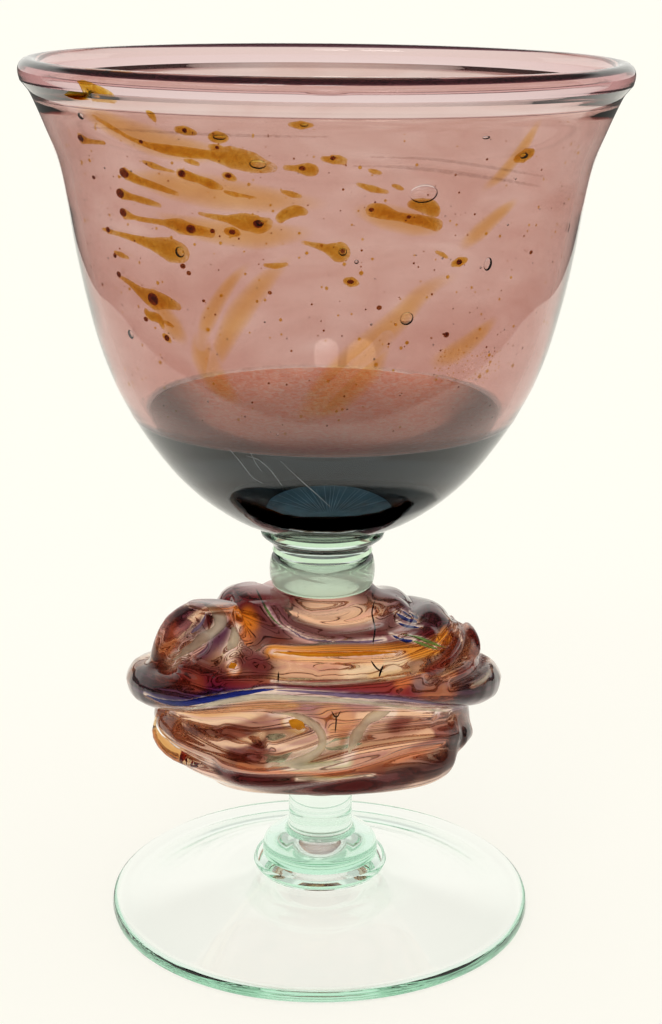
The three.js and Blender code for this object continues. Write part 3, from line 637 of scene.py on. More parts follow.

# Colour laid over the knop, and painted highlights: sRGB, how strong, half width in mm, and the route
colourAndHighlightStrokes = [
    ("#f0c6ac", 0.6, 7.0, [(190, 730), (240, 735), (300, 742), (360, 738), (430, 732)]),
    ("#dda088", 0.6, 3.4, [(230, 768), (290, 772), (350, 768), (410, 755)]),
    ("#f4d9c4", 0.9, 4.6, [(300, 608), (335, 611), (368, 606)]),
    ("#f2d3b0", 0.7, 3.0, [(310, 620), (335, 623), (362, 619)]),
    ("#5e2b22", 0.8, 1.8, [(282, 598), (292, 617), (318, 631), (350, 634), (384, 628), (396, 612)]),
    ("#5a0f22", 0.95, 6.2, [(218, 610), (240, 596), (266, 590), (280, 590)]),
    ("#5c1620", 0.85, 4.0, [(240, 612), (258, 622), (276, 634), (262, 640)]),
    ("#e08a26", 0.9, 2.6, [(238, 612), (246, 622), (243, 632)]),
    ("#48102e", 0.95, 6.6, [(400, 594), (424, 607), (444, 620), (436, 632)]),
    ("#641c26", 0.85, 3.0, [(380, 640), (410, 643), (432, 638)]),
    ("#a98698", 0.75, 0.9, [(262, 600), (275, 617), (296, 633), (324, 642), (373, 641), (400, 637)]),
    ("#703624", 0.8, 1.5, [(276, 641), (320, 647), (370, 647), (400, 644)]),
    ("#f2ae44", 0.95, 1.9, [(272, 651), (310, 654), (350, 655), (400, 654), (430, 649), (446, 636)]),
    ("#f0b060", 0.8, 0.7, [(280, 655), (330, 656), (372, 657), (404, 657)]),
    ("#f4cdb4", 0.85, 3.0, [(290, 667), (320, 669), (345, 670)]),
    # painted highlight on the cream below the crease
    ("#fbf0d6", 0.95, 2.2, [(350, 671), (368, 668), (385, 666), (400, 664)]),
    ("#f0d8a8", 0.9, 1.0, [(372, 676), (390, 675), (408, 671)]),
    ("#f4c890", 0.9, 0.55,
     [(215, 685), (246, 683), (276, 680), (330, 683), (387, 678), (425, 672), (447, 664)]),
    ("#8c1e2e", 0.95, 3.2, [(205, 690), (250, 690), (300, 688), (350, 689), (400, 690), (450, 692)]),
    ("#3a1050", 0.95, 5.0, [(136, 680), (150, 690), (176, 694), (205, 692)]),
    ("#a4501e", 0.7, 2.6, [(168, 674), (186, 676), (198, 681)]),
    ("#6a1a28", 0.85, 3.4, [(160, 664), (182, 668), (202, 664), (222, 676), (240, 672), (258, 668)]),
    ("#e0872a", 0.95, 1.3, [(232, 664), (234, 670)]),
    ("#6c2c34", 0.8, 2.6, [(246, 655), (256, 662), (262, 672)]),
    # painted highlight on the ear
    ("#f3e6d6", 0.95, 1.8, [(236, 634), (233, 644), (229, 652)]),
    ("#d99468", 0.85, 1.5, [(224, 600), (230, 615), (236, 627), (244, 640)]),
    ("#d8905a", 0.85, 1.6, [(176, 624), (172, 640), (164, 652)]),
    ("#5a1838", 0.85, 3.0, [(184, 612), (186, 624), (194, 630)]),
    ("#481650", 0.85, 2.6, [(206, 648), (215, 640), (221, 628)]),
    ("#d8895a", 0.9, 1.2, [(400, 683), (422, 675), (441, 664), (453, 648), (456, 632), (448, 616)]),
    ("#e8a67c", 0.85, 1.0, [(444, 679), (465, 669), (475, 652), (472, 636), (463, 620)]),
    ("#6e1a22", 0.9, 1.7, [(430, 672), (450, 660), (460, 644), (458, 628)]),
    ("#7c2228", 0.9, 1.7, [(460, 676), (478, 664), (480, 648), (472, 632)]),
    ("#8c8088", 0.8, 2.2, [(420, 684), (450, 689), (478, 682), (494, 670)]),
    ("#b87850", 0.7, 2.6, [(430, 697), (450, 694)]),
    ("#3c1440", 0.95, 4.2, [(466, 698), (486, 690), (498, 680)]),
    ("#2a2a74", 0.9, 1.5, [(146, 695), (165, 703), (188, 704), (225, 695), (276, 690)]),
    ("#6a5484", 0.8, 1.3, [(276, 691), (305, 694), (350, 697), (393, 700), (455, 707), (481, 706)]),
    ("#dfe4e6", 0.95, 1.1,
     [(158, 707), (188, 709), (225, 701), (260, 696), (300, 698), (350, 701), (400, 706), (450, 711)]),
    ("#7a2c2c", 0.8, 2.2, [(185, 722), (215, 735), (245, 742), (225, 728), (205, 718)]),
    ("#8a4638", 0.5, 2.6, [(225, 722), (262, 730), (250, 716)]),
    ("#f4c890", 0.85, 2.2, [(180, 714), (215, 712), (250, 708), (290, 706)]),
    ("#f0bf94", 0.8, 3.0, [(330, 712), (345, 722), (340, 732)]),
    ("#f0cc6c", 0.95, 1.8, [(290, 721), (301, 726)]),
    ("#b06a50", 0.5, 3.0, [(350, 735), (375, 742), (400, 738)]),
    ("#6a161c", 0.9, 2.4, [(236, 752), (250, 756), (262, 748), (254, 742)]),
    ("#b98878", 0.7, 2.6, [(405, 722), (425, 730), (445, 724)]),
    ("#70242c", 0.8, 2.2, [(395, 724), (405, 720)]),
    ("#8a3434", 0.75, 2.6, [(420, 742), (445, 736), (462, 726)]),
    ("#d3dfc4", 0.95, 1.7, [(286, 768), (315, 766), (345, 763)]),
    ("#efe3a2", 0.95, 0.8, [(297, 779), (330, 778), (373, 775)]),
    ("#e6a078", 0.85, 0.9, [(240, 766), (275, 772), (330, 773), (380, 765), (420, 752), (450, 742)]),
    ("#521a24", 0.95, 3.0, [(366, 783), (400, 776), (430, 770), (452, 760)]),
    ("#5e1a26", 0.95, 2.4, [(222, 771), (262, 781), (310, 785), (350, 787)]),
    ("#96564a", 0.7, 1.4, [(340, 781), (380, 770)]),
    ("#d8a080", 0.8, 1.6, [(150, 712), (168, 726), (188, 744)]),
    # painted highlights: bright streaks along the folds of the lower body, below the crease, by the ear, on
    # the right and on the dome under the bead
    ("#ffeed8", 0.9, 1.2, [(180, 716), (205, 722), (235, 718), (262, 712)]),
    ("#ffe6cc", 0.9, 1.0, [(360, 716), (395, 712), (430, 714)]),
    ("#ffeedd", 0.9, 1.1, [(270, 745), (305, 750), (335, 742)]),
    ("#ffe2c6", 0.85, 1.3, [(350, 752), (395, 745), (430, 733)]),
    ("#ffe8d0", 0.85, 0.9, [(200, 738), (235, 744), (262, 735)]),
    ("#ffdcb4", 0.85, 0.9, [(300, 660), (340, 661), (380, 661)]),
    ("#ffe8d4", 0.9, 1.0, [(178, 634), (186, 626), (196, 616), (206, 609)]),
    ("#fff2e4", 0.9, 0.9, [(440, 610), (452, 622), (462, 640)]),
    ("#ffdcc0", 0.85, 0.9, [(290, 612), (320, 622), (352, 622), (380, 612)]),
    ("#6a1c24", 0.8, 5.0, [(230, 590), (240, 586), (250, 584), (262, 584), (276, 586)]),
    ("#4c141e", 0.9, 5.5, [(368, 590), (388, 590), (404, 592), (424, 600), (440, 607)]),
    ("#5a1a1e", 0.85, 3.0, [(236, 781), (262, 788), (300, 791), (340, 791), (380, 787), (400, 782)]),
    ("#3c1a24", 0.95, 2.4, [(452, 742), (464, 738), (470, 730)]),
]

# Threads of opal and coloured glass just under the face of the knop: colour, and for each thread its
# half width in mm, its depth under the face in mm, and its route
threads = {
    "cream_opal_glass": ("#fff6e2", 0.5, [
        (1.25, 0.35,
         [(190, 602), (203, 602), (217, 610), (220, 622), (211, 633), (197, 643), (184, 652), (172, 661)]),
        (0.85, 0.5, [(272, 714), (295, 716), (314, 725), (323, 739), (315, 753), (292, 763), (270, 767)]),
        (1.2, 0.5, [(392, 712), (374, 718), (362, 728), (353, 741), (349, 755)]),
        (0.3, 0.3, [(272, 681), (310, 684), (350, 682), (387, 678), (415, 674)]),
        (0.55, 0.25,
         [(160, 709), (188, 710), (225, 702), (260, 697), (300, 699), (350, 702), (400, 707), (450, 712)]),
        (0.5, 0.4, [(472, 686), (484, 680), (492, 668)]),
        (0.4, 0.3, [(297, 779), (335, 779), (373, 775)]),
        (1.1, 0.3, [(237, 628), (235, 640), (228, 651)]),
        (0.75, 0.4, [(286, 767), (312, 767), (345, 762)]),
    ]),
    "cobalt_blue_glass": ("#3446b8", 0.6, [
        (0.6, 0.35, [(145, 695), (162, 702), (185, 704), (215, 698), (245, 692), (275, 689)]),
        (0.7, 0.3, [(396, 612), (405, 618), (417, 622)]),
        (0.6, 0.3, [(398, 622), (408, 626), (420, 627)]),
        (0.35, 0.25, [(402, 610), (412, 617)]),
        (0.35, 0.25, [(410, 612), (418, 619)]),
        (0.6, 0.35, [(392, 634), (402, 639), (414, 640)]),
    ]),
    "lilac_opal_glass": ("#b9a6d0", 0.5, [
        (0.45, 0.35, [(275, 690), (305, 692), (350, 696), (393, 699), (440, 705), (481, 706)]),
        (0.45, 0.3, [(288, 628), (305, 638), (330, 642), (360, 642), (385, 639)]),
        (0.4, 0.3, [(206, 612), (200, 625), (190, 634)]),
    ]),
    "apple_green_glass": ("#a6e08a", 0.6, [
        (0.35, 0.25, [(402, 634), (418, 637), (432, 643), (446, 647)]),
        (0.3, 0.25, [(412, 640), (428, 646), (440, 649)]),
        (0.25, 0.25, [(256, 588), (263, 602), (272, 617), (284, 628)]),
    ]),
    "golden_amber_glass": ("#ffc23c", 0.6, [
        (0.9, 0.4, [(231, 663), (234, 669)]),
        (1.0, 0.5, [(288, 721), (296, 724), (305, 727)]),
        (0.45, 0.4, [(272, 652), (310, 655), (350, 655), (400, 653)]),
    ]),
    "black_manganese_glass": ("#1a0c0e", 0.0, [
        (0.16, 0.3, [(376, 597), (372, 612), (375, 628), (373, 646)]),
        (0.18, 0.3, [(371, 660), (377, 668), (384, 672)]),
        (0.2, 0.3, [(384, 664), (381, 671), (379, 677)]),
        (0.14, 0.4, [(336, 712), (336, 724), (335, 734)]),
        (0.14, 0.4, [(331, 711), (336, 718), (341, 711)]),
        (0.2, 0.3, [(279, 671), (278, 683)]),
    ]),
}


def copiedMesh(node, swell):
    work = bmesh.new()
    work.from_mesh(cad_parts[node].data)
    bmesh.ops.remove_doubles(work, verts=work.verts, dist=0.002 * mm)
    bmesh.ops.recalc_face_normals(work, faces=work.faces)
    for vertex in work.verts:
        vertex.co += vertex.normal * swell
    return work


def joined(works, name):
    mesh = bpy.data.meshes.new(name)
    whole = bmesh.new()
    for work in works:
        part = bpy.data.meshes.new("part")
        work.to_mesh(part)
        work.free()
        whole.from_mesh(part)
        bpy.data.meshes.remove(part)
    whole.to_mesh(mesh)
    whole.free()
    return mesh


def smooth(holder, name, iterations):
    soften = holder.modifiers.new(name, "SMOOTH")
    soften.factor = 0.5
    soften.iterations = iterations
    return soften


def remeshed(mesh, voxel, smoothing):
    def melt(holder):
        remesh = holder.modifiers.new("melt", "REMESH")
        remesh.mode = "VOXEL"
        remesh.voxel_size = voxel
        smooth(holder, "soften", smoothing)

    return modified(mesh, melt)


def biggestShell(mesh):
    work = bmesh.new()
    work.from_mesh(mesh)
    left, shells = set(work.verts), []
    while left:
        stack, shell = [left.pop()], []
        while stack:
            vertex = stack.pop()
            shell.append(vertex)
            for edge in vertex.link_edges:
                other = edge.other_vert(vertex)
                if other in left:
                    left.discard(other)
                    stack.append(other)
        shells.append(shell)
    shells.sort(key=len)
    bmesh.ops.delete(work, geom=[v for shell in shells[:-1] for v in shell], context="VERTS")
    work.to_mesh(mesh)
    work.free()
    return mesh


def capAt(mesh, height, keepBelow):
    work = bmesh.new()
    work.from_mesh(mesh)
    cut = bmesh.ops.bisect_plane(work, geom=work.verts[:] + work.edges[:] + work.faces[:], dist=1e-7,
                                 plane_co=(0, 0, height), plane_no=(0, 0, 1),
                                 clear_outer=keepBelow, clear_inner=not keepBelow)
    rim = [e for e in cut["geom_cut"] if isinstance(e, bmesh.types.BMEdge)]
    made = bmesh.ops.holes_fill(work, edges=rim, sides=0)["faces"]
    bmesh.ops.triangulate(work, faces=made)
    work.to_mesh(mesh)
    work.free()


trailNodes = sorted(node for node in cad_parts
                    if node.startswith("knop_") and node not in ("knop_core", "knop_side_loop"))
parts = [copiedMesh("knop_core", knop["coreSwell"] * mm)]
parts += [copiedMesh(node, knop["swell"] * mm) for node in trailNodes]
plug = bmesh.new()
plugLow = topOf["lower_stem"] - knop["plugBelow"] * mm
plugHigh = topOf["lower_stem"] + knop["plugAbove"] * mm
bmesh.ops.create_cone(plug, cap_ends=True, segments=64, radius1=knop["plugRadius"] * mm,
                      radius2=knop["plugRadius"] * mm, depth=plugHigh - plugLow + 2 * knop["plugSpare"] * mm,
                      matrix=Matrix.Translation((0, 0, (plugLow + plugHigh) / 2)))
parts.append(plug)
knopMesh = biggestShell(remeshed(joined(parts, "knop_glass"), knop["voxel"] * mm, knop["smoothing"]))


# A smooth route through pixels, laid on a mesh, with a point at least every few pixels
def routeOn(tree, pixels, step=1.5):
    flat = [Vector(p) for p in pixels]
    flat = [flat[0] * 2 - flat[1]] + flat + [flat[-1] * 2 - flat[-2]]
    points, normals = [], []
    for i in range(1, len(flat) - 2):
        a, b, c, d = flat[i - 1:i + 3]
        count = max(2, round((c - b).length / step))
        for k in range(count + (i == len(flat) - 3)):
            t = k / count
            pixel = 0.5 * (2 * b + (c - a) * t + (2 * a - 5 * b + 4 * c - d) * t * t
                           + (3 * b - 3 * c + d - a) * t ** 3)
            hit, normal = metAt(tree, *pixel)
            if hit:
                points.append(hit)
                normals.append(normal)
    return points, normals


# Distance of every vertex from a route, or a large number when it is farther than reach
def distanceFrom(places, route, reach):
    route = np.array([tuple(p) for p in route])
    low, high = route.min(axis=0) - reach, route.max(axis=0) + reach
    near = np.where(((places > low) & (places < high)).all(axis=1))[0]
    far = np.full(len(places), 1.0)
    atOnce = 4000
    for start in range(0, len(near), atOnce):
        some = near[start:start + atOnce]
        gaps = places[some][:, None, :] - route[None, :, :]
        far[some] = np.sqrt((gaps ** 2).sum(axis=2)).min(axis=1)
    return far


# The front of the knop flowed smoother than its back
def smoothFront(holder):
    places = vertexArray(holder.data)
    facing = -places[:, 1] / np.maximum(np.hypot(places[:, 0], places[:, 1]), 1e-9)
    trees = [treeOf(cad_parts[node].data) for node in ("knop_ridge_trail", "knop_ear_fold")]
    group = holder.vertex_groups.new(name="front")
    for i, place in enumerate(places):
        share = min(1.0, max(0.0, (facing[i] - knop["frontFrom"]) / (knop["frontTo"] - knop["frontFrom"])))
        trailAway = min(tree.find_nearest(Vector(place))[3] for tree in trees)
        share *= min(1.0, trailAway / (knop["nearTrail"] * mm))
        share *= 1 if place[2] < topOf["knop_core"] - knop["nearTop"] * mm else knop["topShare"]
        if share > 0.02:
            group.add([i], share, "REPLACE")
    smooth(holder, "flow", knop["frontSmoothing"]).vertex_group = "front"


knopMesh = modified(knopMesh, smoothFront)
knopTree = treeOf(knopMesh)
places, outwards = vertexArray(knopMesh), vertexArray(knopMesh, "normal")
moved = places.copy()
for height, width, pixels in foldStrokes:
    route, _ = routeOn(knopTree, pixels)
    away = distanceFrom(places, route, 3 * width * mm)
    moved += outwards * (height * mm * np.exp(-(away / (width * mm)) ** 2))[:, None]
knopMesh.vertices.foreach_set("co", moved.ravel())
knopMesh.update()

# Colour and painted highlights over the knop, with the share that it covers as alpha. Under a clear thread it
# is white.
knopTree = treeOf(knopMesh)
places = vertexArray(knopMesh)
colourAndHighlightPaint = np.zeros((len(places), 4))
strokes = [(linear(hexColour)[:3], strength, width, 2.2 * width, pixels)
           for hexColour, strength, width, pixels in colourAndHighlightStrokes]
strokes += [((1, 1, 1), 0.8, 1.15 * half, 2.5 * half, pixels)
            for _, clear, laid in threads.values() if clear > 0 for half, _, pixels in laid]
for colour, strength, width, reach, pixels in strokes:
    away = distanceFrom(places, routeOn(knopTree, pixels)[0], reach * mm)
    share = (strength * np.exp(-(away / (width * mm)) ** 4))[:, None]
    colourAndHighlightPaint = colourAndHighlightPaint * (1 - share) + np.array([*colour, 1]) * share
knopMesh.attributes.new("colourAndHighlightPaint", "FLOAT_COLOR", "POINT").data.foreach_set("color", colourAndHighlightPaint.ravel())
capAt(knopMesh, topOf["knop_core"] - fuseGap, True)
capAt(knopMesh, plugLow, False)
mark(knopMesh, "joint", [
    float(abs(face.center.z - plugLow) < sameHeight and face.center.xy.length < knop["jointRadius"] * mm)
    for face in knopMesh.polygons], "FACE")


# Bands of amber, brown and amethyst glass that run round the knop, under the colours laid over them
def knopColour(tree, place):
    middle = (bottomOf["knop_core"] + topOf["knop_core"]) / 2 + knop["bandRise"] * mm
    split = add(tree, "ShaderNodeSeparateXYZ", inputs={0: place})
    lean = add(tree, "ShaderNodeMath", {"operation": "MULTIPLY_ADD"}, {
        0: split.outputs["Y"], 1: knop["lean"], 2: split.outputs["Z"]})
    swirl = add(tree, "ShaderNodeTexNoise", inputs={
        "Vector": place, "Scale": 1 / (knop["swirlSize"] * mm), "Detail": 2.0, "Distortion": 0.8})
    warp = add(tree, "ShaderNodeMath", {"operation": "MULTIPLY_ADD"}, {
        0: swirl, 1: knop["swirlMoves"] * mm, 2: lean})
    level = add(tree, "ShaderNodeMapRange", inputs={
        "Value": warp, "From Min": middle - knop["bandReach"] * mm,
        "From Max": middle + knop["bandReach"] * mm})
    ramp = add(tree, "ShaderNodeValToRGB", inputs={"Fac": level})
    bands = ramp.color_ramp.elements
    while len(bands) < len(knop["bands"]):
        bands.new(0.5)
    for band, (position, hexColour) in zip(bands, knop["bands"]):
        band.position, band.color = position, linear(hexColour)
    drawn = add(tree, "ShaderNodeMapping", inputs={"Vector": place, "Scale": knop["streakDraw"]})
    thin = cloudDepth(tree, drawn, knop["streakSize"], {"Detail": 3.0, "Distortion": 1.2},
                      (0.35, 0.68), (0.45, 1.7))
    shaded = add(tree, "ShaderNodeVectorMath", {"operation": "SCALE"}, {0: ramp, "Scale": thin})
    towardBack = add(tree, "ShaderNodeMapRange", {"interpolation_type": "SMOOTHSTEP"}, {
        "Value": split.outputs["Y"],
        "From Min": knop["backRange"][0] * mm, "From Max": knop["backRange"][1] * mm,
        "To Min": knop["bandDepth"], "To Max": knop["backDepth"]})
    thinned = add(tree, "ShaderNodeGamma", inputs={"Color": shaded, "Gamma": towardBack})
    # the laid colour carries the painted highlights too
    laid = add(tree, "ShaderNodeAttribute", {"attribute_name": "colourAndHighlightPaint"})
    mixed = add(tree, "ShaderNodeMix", {"data_type": "RGBA"}, {
        0: laid.outputs["Alpha"], 6: thinned, 7: laid.outputs["Color"]})
    # the shader takes the square root of the colour at each face that the light goes through
    return add(tree, "ShaderNodeGamma", inputs={"Color": mixed.outputs[2], "Gamma": 2.0})


knopGlass = blownGlass("amber_and_amethyst_glass", knop["takes"], knop["ripple"], knopColour,
                       mirror=knop["mirror"])
newPiece("knop_glass", knopMesh, knopGlass, ["knop_core"] + trailNodes, 60)


# A drawn strand of glass with an oval section, round at both ends. Its half widths are spaced evenly on its
# route, and it lies at a depth under the face it was drawn on. The higher its edge power, the thinner its
# edges and ends.
def strandShape(route, normals, widths, depth, thick, edge, sides):
    route = [p - n * depth for p, n in zip(route, normals)]
    last = len(route) - 1
    along = [0.0]
    for i in range(last):
        along.append(along[-1] + (route[i + 1] - route[i]).length)
    spaced = np.linspace(0, along[-1], len(widths))
    corners, faces = [], []
    for i, centre in enumerate(route):
        half = float(np.interp(along[i], spaced, widths))
        toEnd = min(along[i], along[-1] - along[i])
        fromEnd = min(1.0, toEnd / half)
        deep = min(half * 0.5, thick)
        if edge > 1:
            deep *= easeShare(toEnd, -0.02 * along[-1], 0.12 * edge * along[-1])
        half *= math.sqrt(max(0.002, 1 - (1 - fromEnd) ** 2))
        ahead = (route[min(i + 1, last)] - route[max(i - 1, 0)]).normalized()
        across = ahead.cross(normals[i]).normalized()
        for k in range(sides):
            turn = 2 * math.pi * k / sides
            bulge = math.copysign(abs(math.sin(turn)) ** edge, math.sin(turn)) + 0.01 * math.sin(turn)
            corners.append(centre + across * (half * math.cos(turn)) + normals[i] * (min(deep, half) * bulge))
    for i in range(last):
        for k in range(sides):
            j = (k + 1) % sides
            faces.append((i * sides + k, i * sides + j, (i + 1) * sides + j, (i + 1) * sides + k))
    faces.append(tuple(range(sides - 1, -1, -1)))
    faces.append(tuple(last * sides + k for k in range(sides)))
    return corners, faces


# Many strands as one piece. Each is its half widths in mm, its depth in mm, and its route in pixels. thick is
# in mm, or without it each is as thick as 0.6 of its depth.
def newStrands(name, tree, laid, thick, glass, step=1.5, edge=1, sides=8, smoothAngle=80):
    corners, faces = [], []
    for widths, depth, pixels in laid:
        route, normals = routeOn(tree, pixels, step)
        some, skin = strandShape(route, normals, [w * mm for w in widths], depth * mm,
                                 (thick or 0.6 * depth) * mm, edge, sides)
        faces += [tuple(i + len(corners) for i in face) for face in skin]
        corners += some
    newPiece(name, closedMesh(name, corners, faces), glass, smoothAngle=smoothAngle)


knopTree = treeOf(knopMesh)
for name, (hexColour, clear, laid) in threads.items():
    laid = [((0.15 * half, half, half, half, 0.15 * half), depth + 0.2 * half, pixels)
            for half, depth, pixels in laid]
    newStrands("knop_" + name.replace("_glass", "_threads"), knopTree, laid, None,
               threadGlass(name, hexColour, clear), step=2.5, smoothAngle=60)

# The side loop: clear amber glass, deep orange where it is thick
loop = {"takes": (0.12, 0.36, 0.75), "ripple": (5, 0.02), "voxel": 0.3, "smoothing": 6}
loopMesh = remeshed(joined([copiedMesh("knop_side_loop", 0)], "knop_side_loop_glass"), loop["voxel"] * mm,
                    loop["smoothing"])
newPiece("knop_side_loop_glass", loopMesh, blownGlass("amber_loop_glass", loop["takes"], loop["ripple"]),
         ["knop_side_loop"])
print("knop done")

# Frit: grains of coloured glass that melted into the wall of the bowl and were drawn into comets as it was
# blown. For each: half widths in mm, depth in mm, and the route in pixels of the photograph.
amberFrit = [
    ((0.3, 0.6, 0.35), 0.8, [(182, 161), (190, 163), (199, 166)]),
    ((0.25, 0.55, 0.3), 0.8, [(330, 157), (338, 159), (348, 162)]),
    ((0.25, 0.5, 0.25), 0.8, [(100, 229), (107, 231), (115, 234)]),
    ((0.3, 0.5, 0.3), 0.8, [(368, 171), (375, 173), (383, 175)]),
    ((0.25, 0.5, 0.25), 0.8, [(392, 186), (398, 188), (405, 191)]),
    ((0.3, 0.6, 0.3), 0.8, [(112, 252), (119, 255), (128, 259)]),
    ((0.25, 0.5, 0.25), 0.8, [(160, 321), (166, 324), (173, 328)]),
    ((0.25, 0.45, 0.25), 0.8, [(436, 252), (443, 255), (450, 259)]),
    ((0.3, 0.7, 0.4, 0.25), 0.8, [(140, 162), (150, 166), (162, 170), (174, 173)]),
    ((0.25, 0.5, 0.3, 0.2), 0.8, [(222, 192), (232, 195), (244, 197), (256, 199)]),
    ((0.3, 0.6, 0.35), 0.8, [(280, 192), (290, 195), (302, 198)]),
    ((1.0, 1.9, 2.4, 1.2), 0.85, [(66, 88), (86, 93), (106, 98), (116, 101)]),
    ((0.4, 0.6, 0.45, 0.6, 1.0, 1.1, 0.9, 2.2, 2.0, 0.6), 1.0,
     [(90, 116), (112, 130), (134, 142), (156, 149), (178, 153), (204, 156), (230, 159), (250, 164),
     (264, 168), (277, 170)]),
    ((0.5, 0.6, 1.3, 1.1), 1.0, [(282, 169), (294, 170), (306, 171), (319, 173)]),
    ((1.3, 0.5, 0.4), 1.0, [(76, 138), (88, 142), (104, 144)]),
    ((0.5, 1.0, 0.4), 1.0, [(172, 131), (183, 132), (196, 135)]),
    ((0.6, 1.3, 0.6), 1.0, [(206, 139), (218, 139), (228, 140)]),
    ((0.4, 0.7, 0.3), 1.0, [(206, 148), (216, 149), (228, 152)]),
    ((1.4, 0.9, 0.7, 0.4), 1.0, [(119, 172), (136, 181), (156, 188), (178, 196)]),
    ((0.9, 1.0, 0.8, 1.0, 0.4), 1.0, [(174, 173), (186, 177), (198, 181), (211, 186), (222, 190)]),
    ((0.5, 0.9, 0.4), 1.0, [(220, 176), (228, 178), (236, 182)]),
    ((1.3, 0.7, 0.7, 0.4), 1.0, [(116, 193), (130, 198), (144, 202), (160, 207)]),
    ((1.3, 0.5, 0.5, 0.6, 1.5, 1.0, 0.9), 1.0,
     [(119, 213), (135, 219), (152, 222), (170, 225), (188, 230), (200, 232), (214, 235)]),
    ((0.3, 0.5, 0.7, 1.6, 1.7, 0.8), 1.0,
     [(196, 214), (214, 218), (232, 221), (250, 224), (260, 226), (272, 222)]),
    ((0.8, 1.0, 1.1, 0.5), 1.0, [(276, 223), (284, 216), (296, 212), (308, 214)]),
    ((0.5, 1.0, 0.5), 1.0, [(222, 232), (231, 233), (240, 235)]),
    ((0.5, 0.5, 0.7, 1.2, 2.4, 1.6), 1.0,
     [(104, 231), (122, 236), (141, 242), (160, 248), (176, 253), (188, 255)]),
    ((0.4, 0.6, 1.2, 2.1, 1.4, 0.6), 1.0,
     [(116, 276), (128, 284), (140, 294), (151, 300), (164, 303), (180, 309)]),
    ((0.6, 1.0, 1.0, 0.3), 1.0, [(143, 309), (147, 316), (157, 320), (162, 331)]),
    ((0.5, 0.8, 0.4), 1.0, [(160, 335), (165, 339), (170, 344)]),
    ((0.3, 0.5, 0.8, 1.9, 1.7), 1.0, [(300, 243), (314, 246), (328, 250), (343, 254), (351, 255)]),
    ((0.5, 1.0, 0.4), 1.0, [(343, 281), (351, 283), (360, 285)]),
    ((1.2, 1.4, 0.8, 1.0, 1.1, 1.2), 1.0,
     [(366, 211), (380, 212), (396, 217), (412, 220), (428, 223), (444, 228)]),
    ((0.6, 1.2, 1.5, 0.9), 1.0, [(408, 205), (420, 206), (432, 209), (440, 217)]),
    ((0.6, 1.5, 0.7), 1.0, [(515, 161), (526, 157), (537, 153)]),
    ((0.4, 1.0, 0.4), 1.0, [(452, 266), (461, 263), (470, 260)]),
    ((0.3, 0.9, 0.3), 1.0, [(287, 126), (300, 127), (314, 127)]),
    ((0.4, 0.8, 0.3), 1.0, [(320, 160), (334, 162), (348, 165)]),
    ((0.3, 0.7, 0.3), 1.0, [(356, 185), (372, 190), (390, 194)]),
    ((0.3, 0.6, 0.3), 1.0, [(262, 266), (275, 267), (288, 265)]),
    ((0.4, 0.9, 0.3), 1.0, [(144, 112), (150, 117), (154, 124)]),
]
amberHaze = [
    ((0.8, 2.0, 2.6, 3.0, 2.6, 2.4, 1.6), 1.0,
     [(462, 276), (440, 284), (420, 298), (404, 316), (378, 340), (344, 368), (318, 398), (298, 428)]),
    ((0.8, 1.6, 2.0, 1.2), 1.0, [(521, 200), (500, 216), (480, 234), (460, 250)]),
    ((0.8, 1.6, 1.6, 0.8), 1.0, [(544, 118), (524, 150), (503, 176), (482, 192)]),
    ((0.8, 2.0, 2.6, 2.0, 1.0), 1.0, [(292, 256), (262, 285), (238, 315), (222, 345), (208, 380)]),
    ((0.6, 1.4, 1.8, 1.0), 1.0, [(250, 262), (226, 288), (206, 322), (198, 352)]),
    ((1.0, 2.2, 2.6, 1.4), 1.0, [(500, 318), (478, 338), (456, 354), (430, 366)]),
    ((1.0, 2.8, 3.4, 2.6, 1.0), 1.0, [(72, 108), (110, 126), (150, 142), (190, 152), (240, 158)]),
    ((1.0, 3.4, 3.4, 1.0), 1.0, [(392, 332), (366, 372), (330, 404), (290, 420)]),
    ((1.0, 3.0, 3.6, 2.6, 1.0), 1.0, [(120, 176), (190, 190), (260, 200), (330, 206)]),
    ((0.8, 2.4, 3.0, 1.2), 1.0, [(150, 215), (200, 230), (260, 236), (316, 234)]),
    ((1.0, 2.6, 2.6, 1.0), 1.0, [(352, 210), (400, 221), (446, 232)]),
    ((1.0, 3.0, 3.2, 1.4), 1.0, [(240, 408), (216, 384), (202, 356), (198, 330)]),
    ((1.0, 2.4, 2.8, 1.2), 1.0, [(150, 286), (164, 318), (186, 346)]),
]
striae = [
    ((0.15, 0.35, 0.4, 0.3, 0.15), 0.6, [(352, 167), (400, 168), (450, 173), (500, 180), (542, 187)]),
    ((0.15, 0.3, 0.3, 0.15), 0.6, [(370, 158), (430, 160), (490, 168), (545, 177)]),
    ((0.15, 0.3, 0.3, 0.15), 0.6, [(90, 128), (180, 134), (260, 137), (330, 138)]),
]
scratches = [
    ((0.03, 0.07, 0.07, 0.03), 0.12, [(229, 449), (240, 462), (252, 477), (263, 484)]),
    ((0.03, 0.08, 0.08, 0.03), 0.12, [(246, 456), (258, 460), (270, 470), (282, 486)]),
    ((0.03, 0.06, 0.06, 0.03), 0.12, [(280, 461), (298, 478), (317, 495), (331, 508)]),
    ((0.03, 0.05, 0.03), 0.12, [(250, 452), (256, 464), (262, 472)]),
]
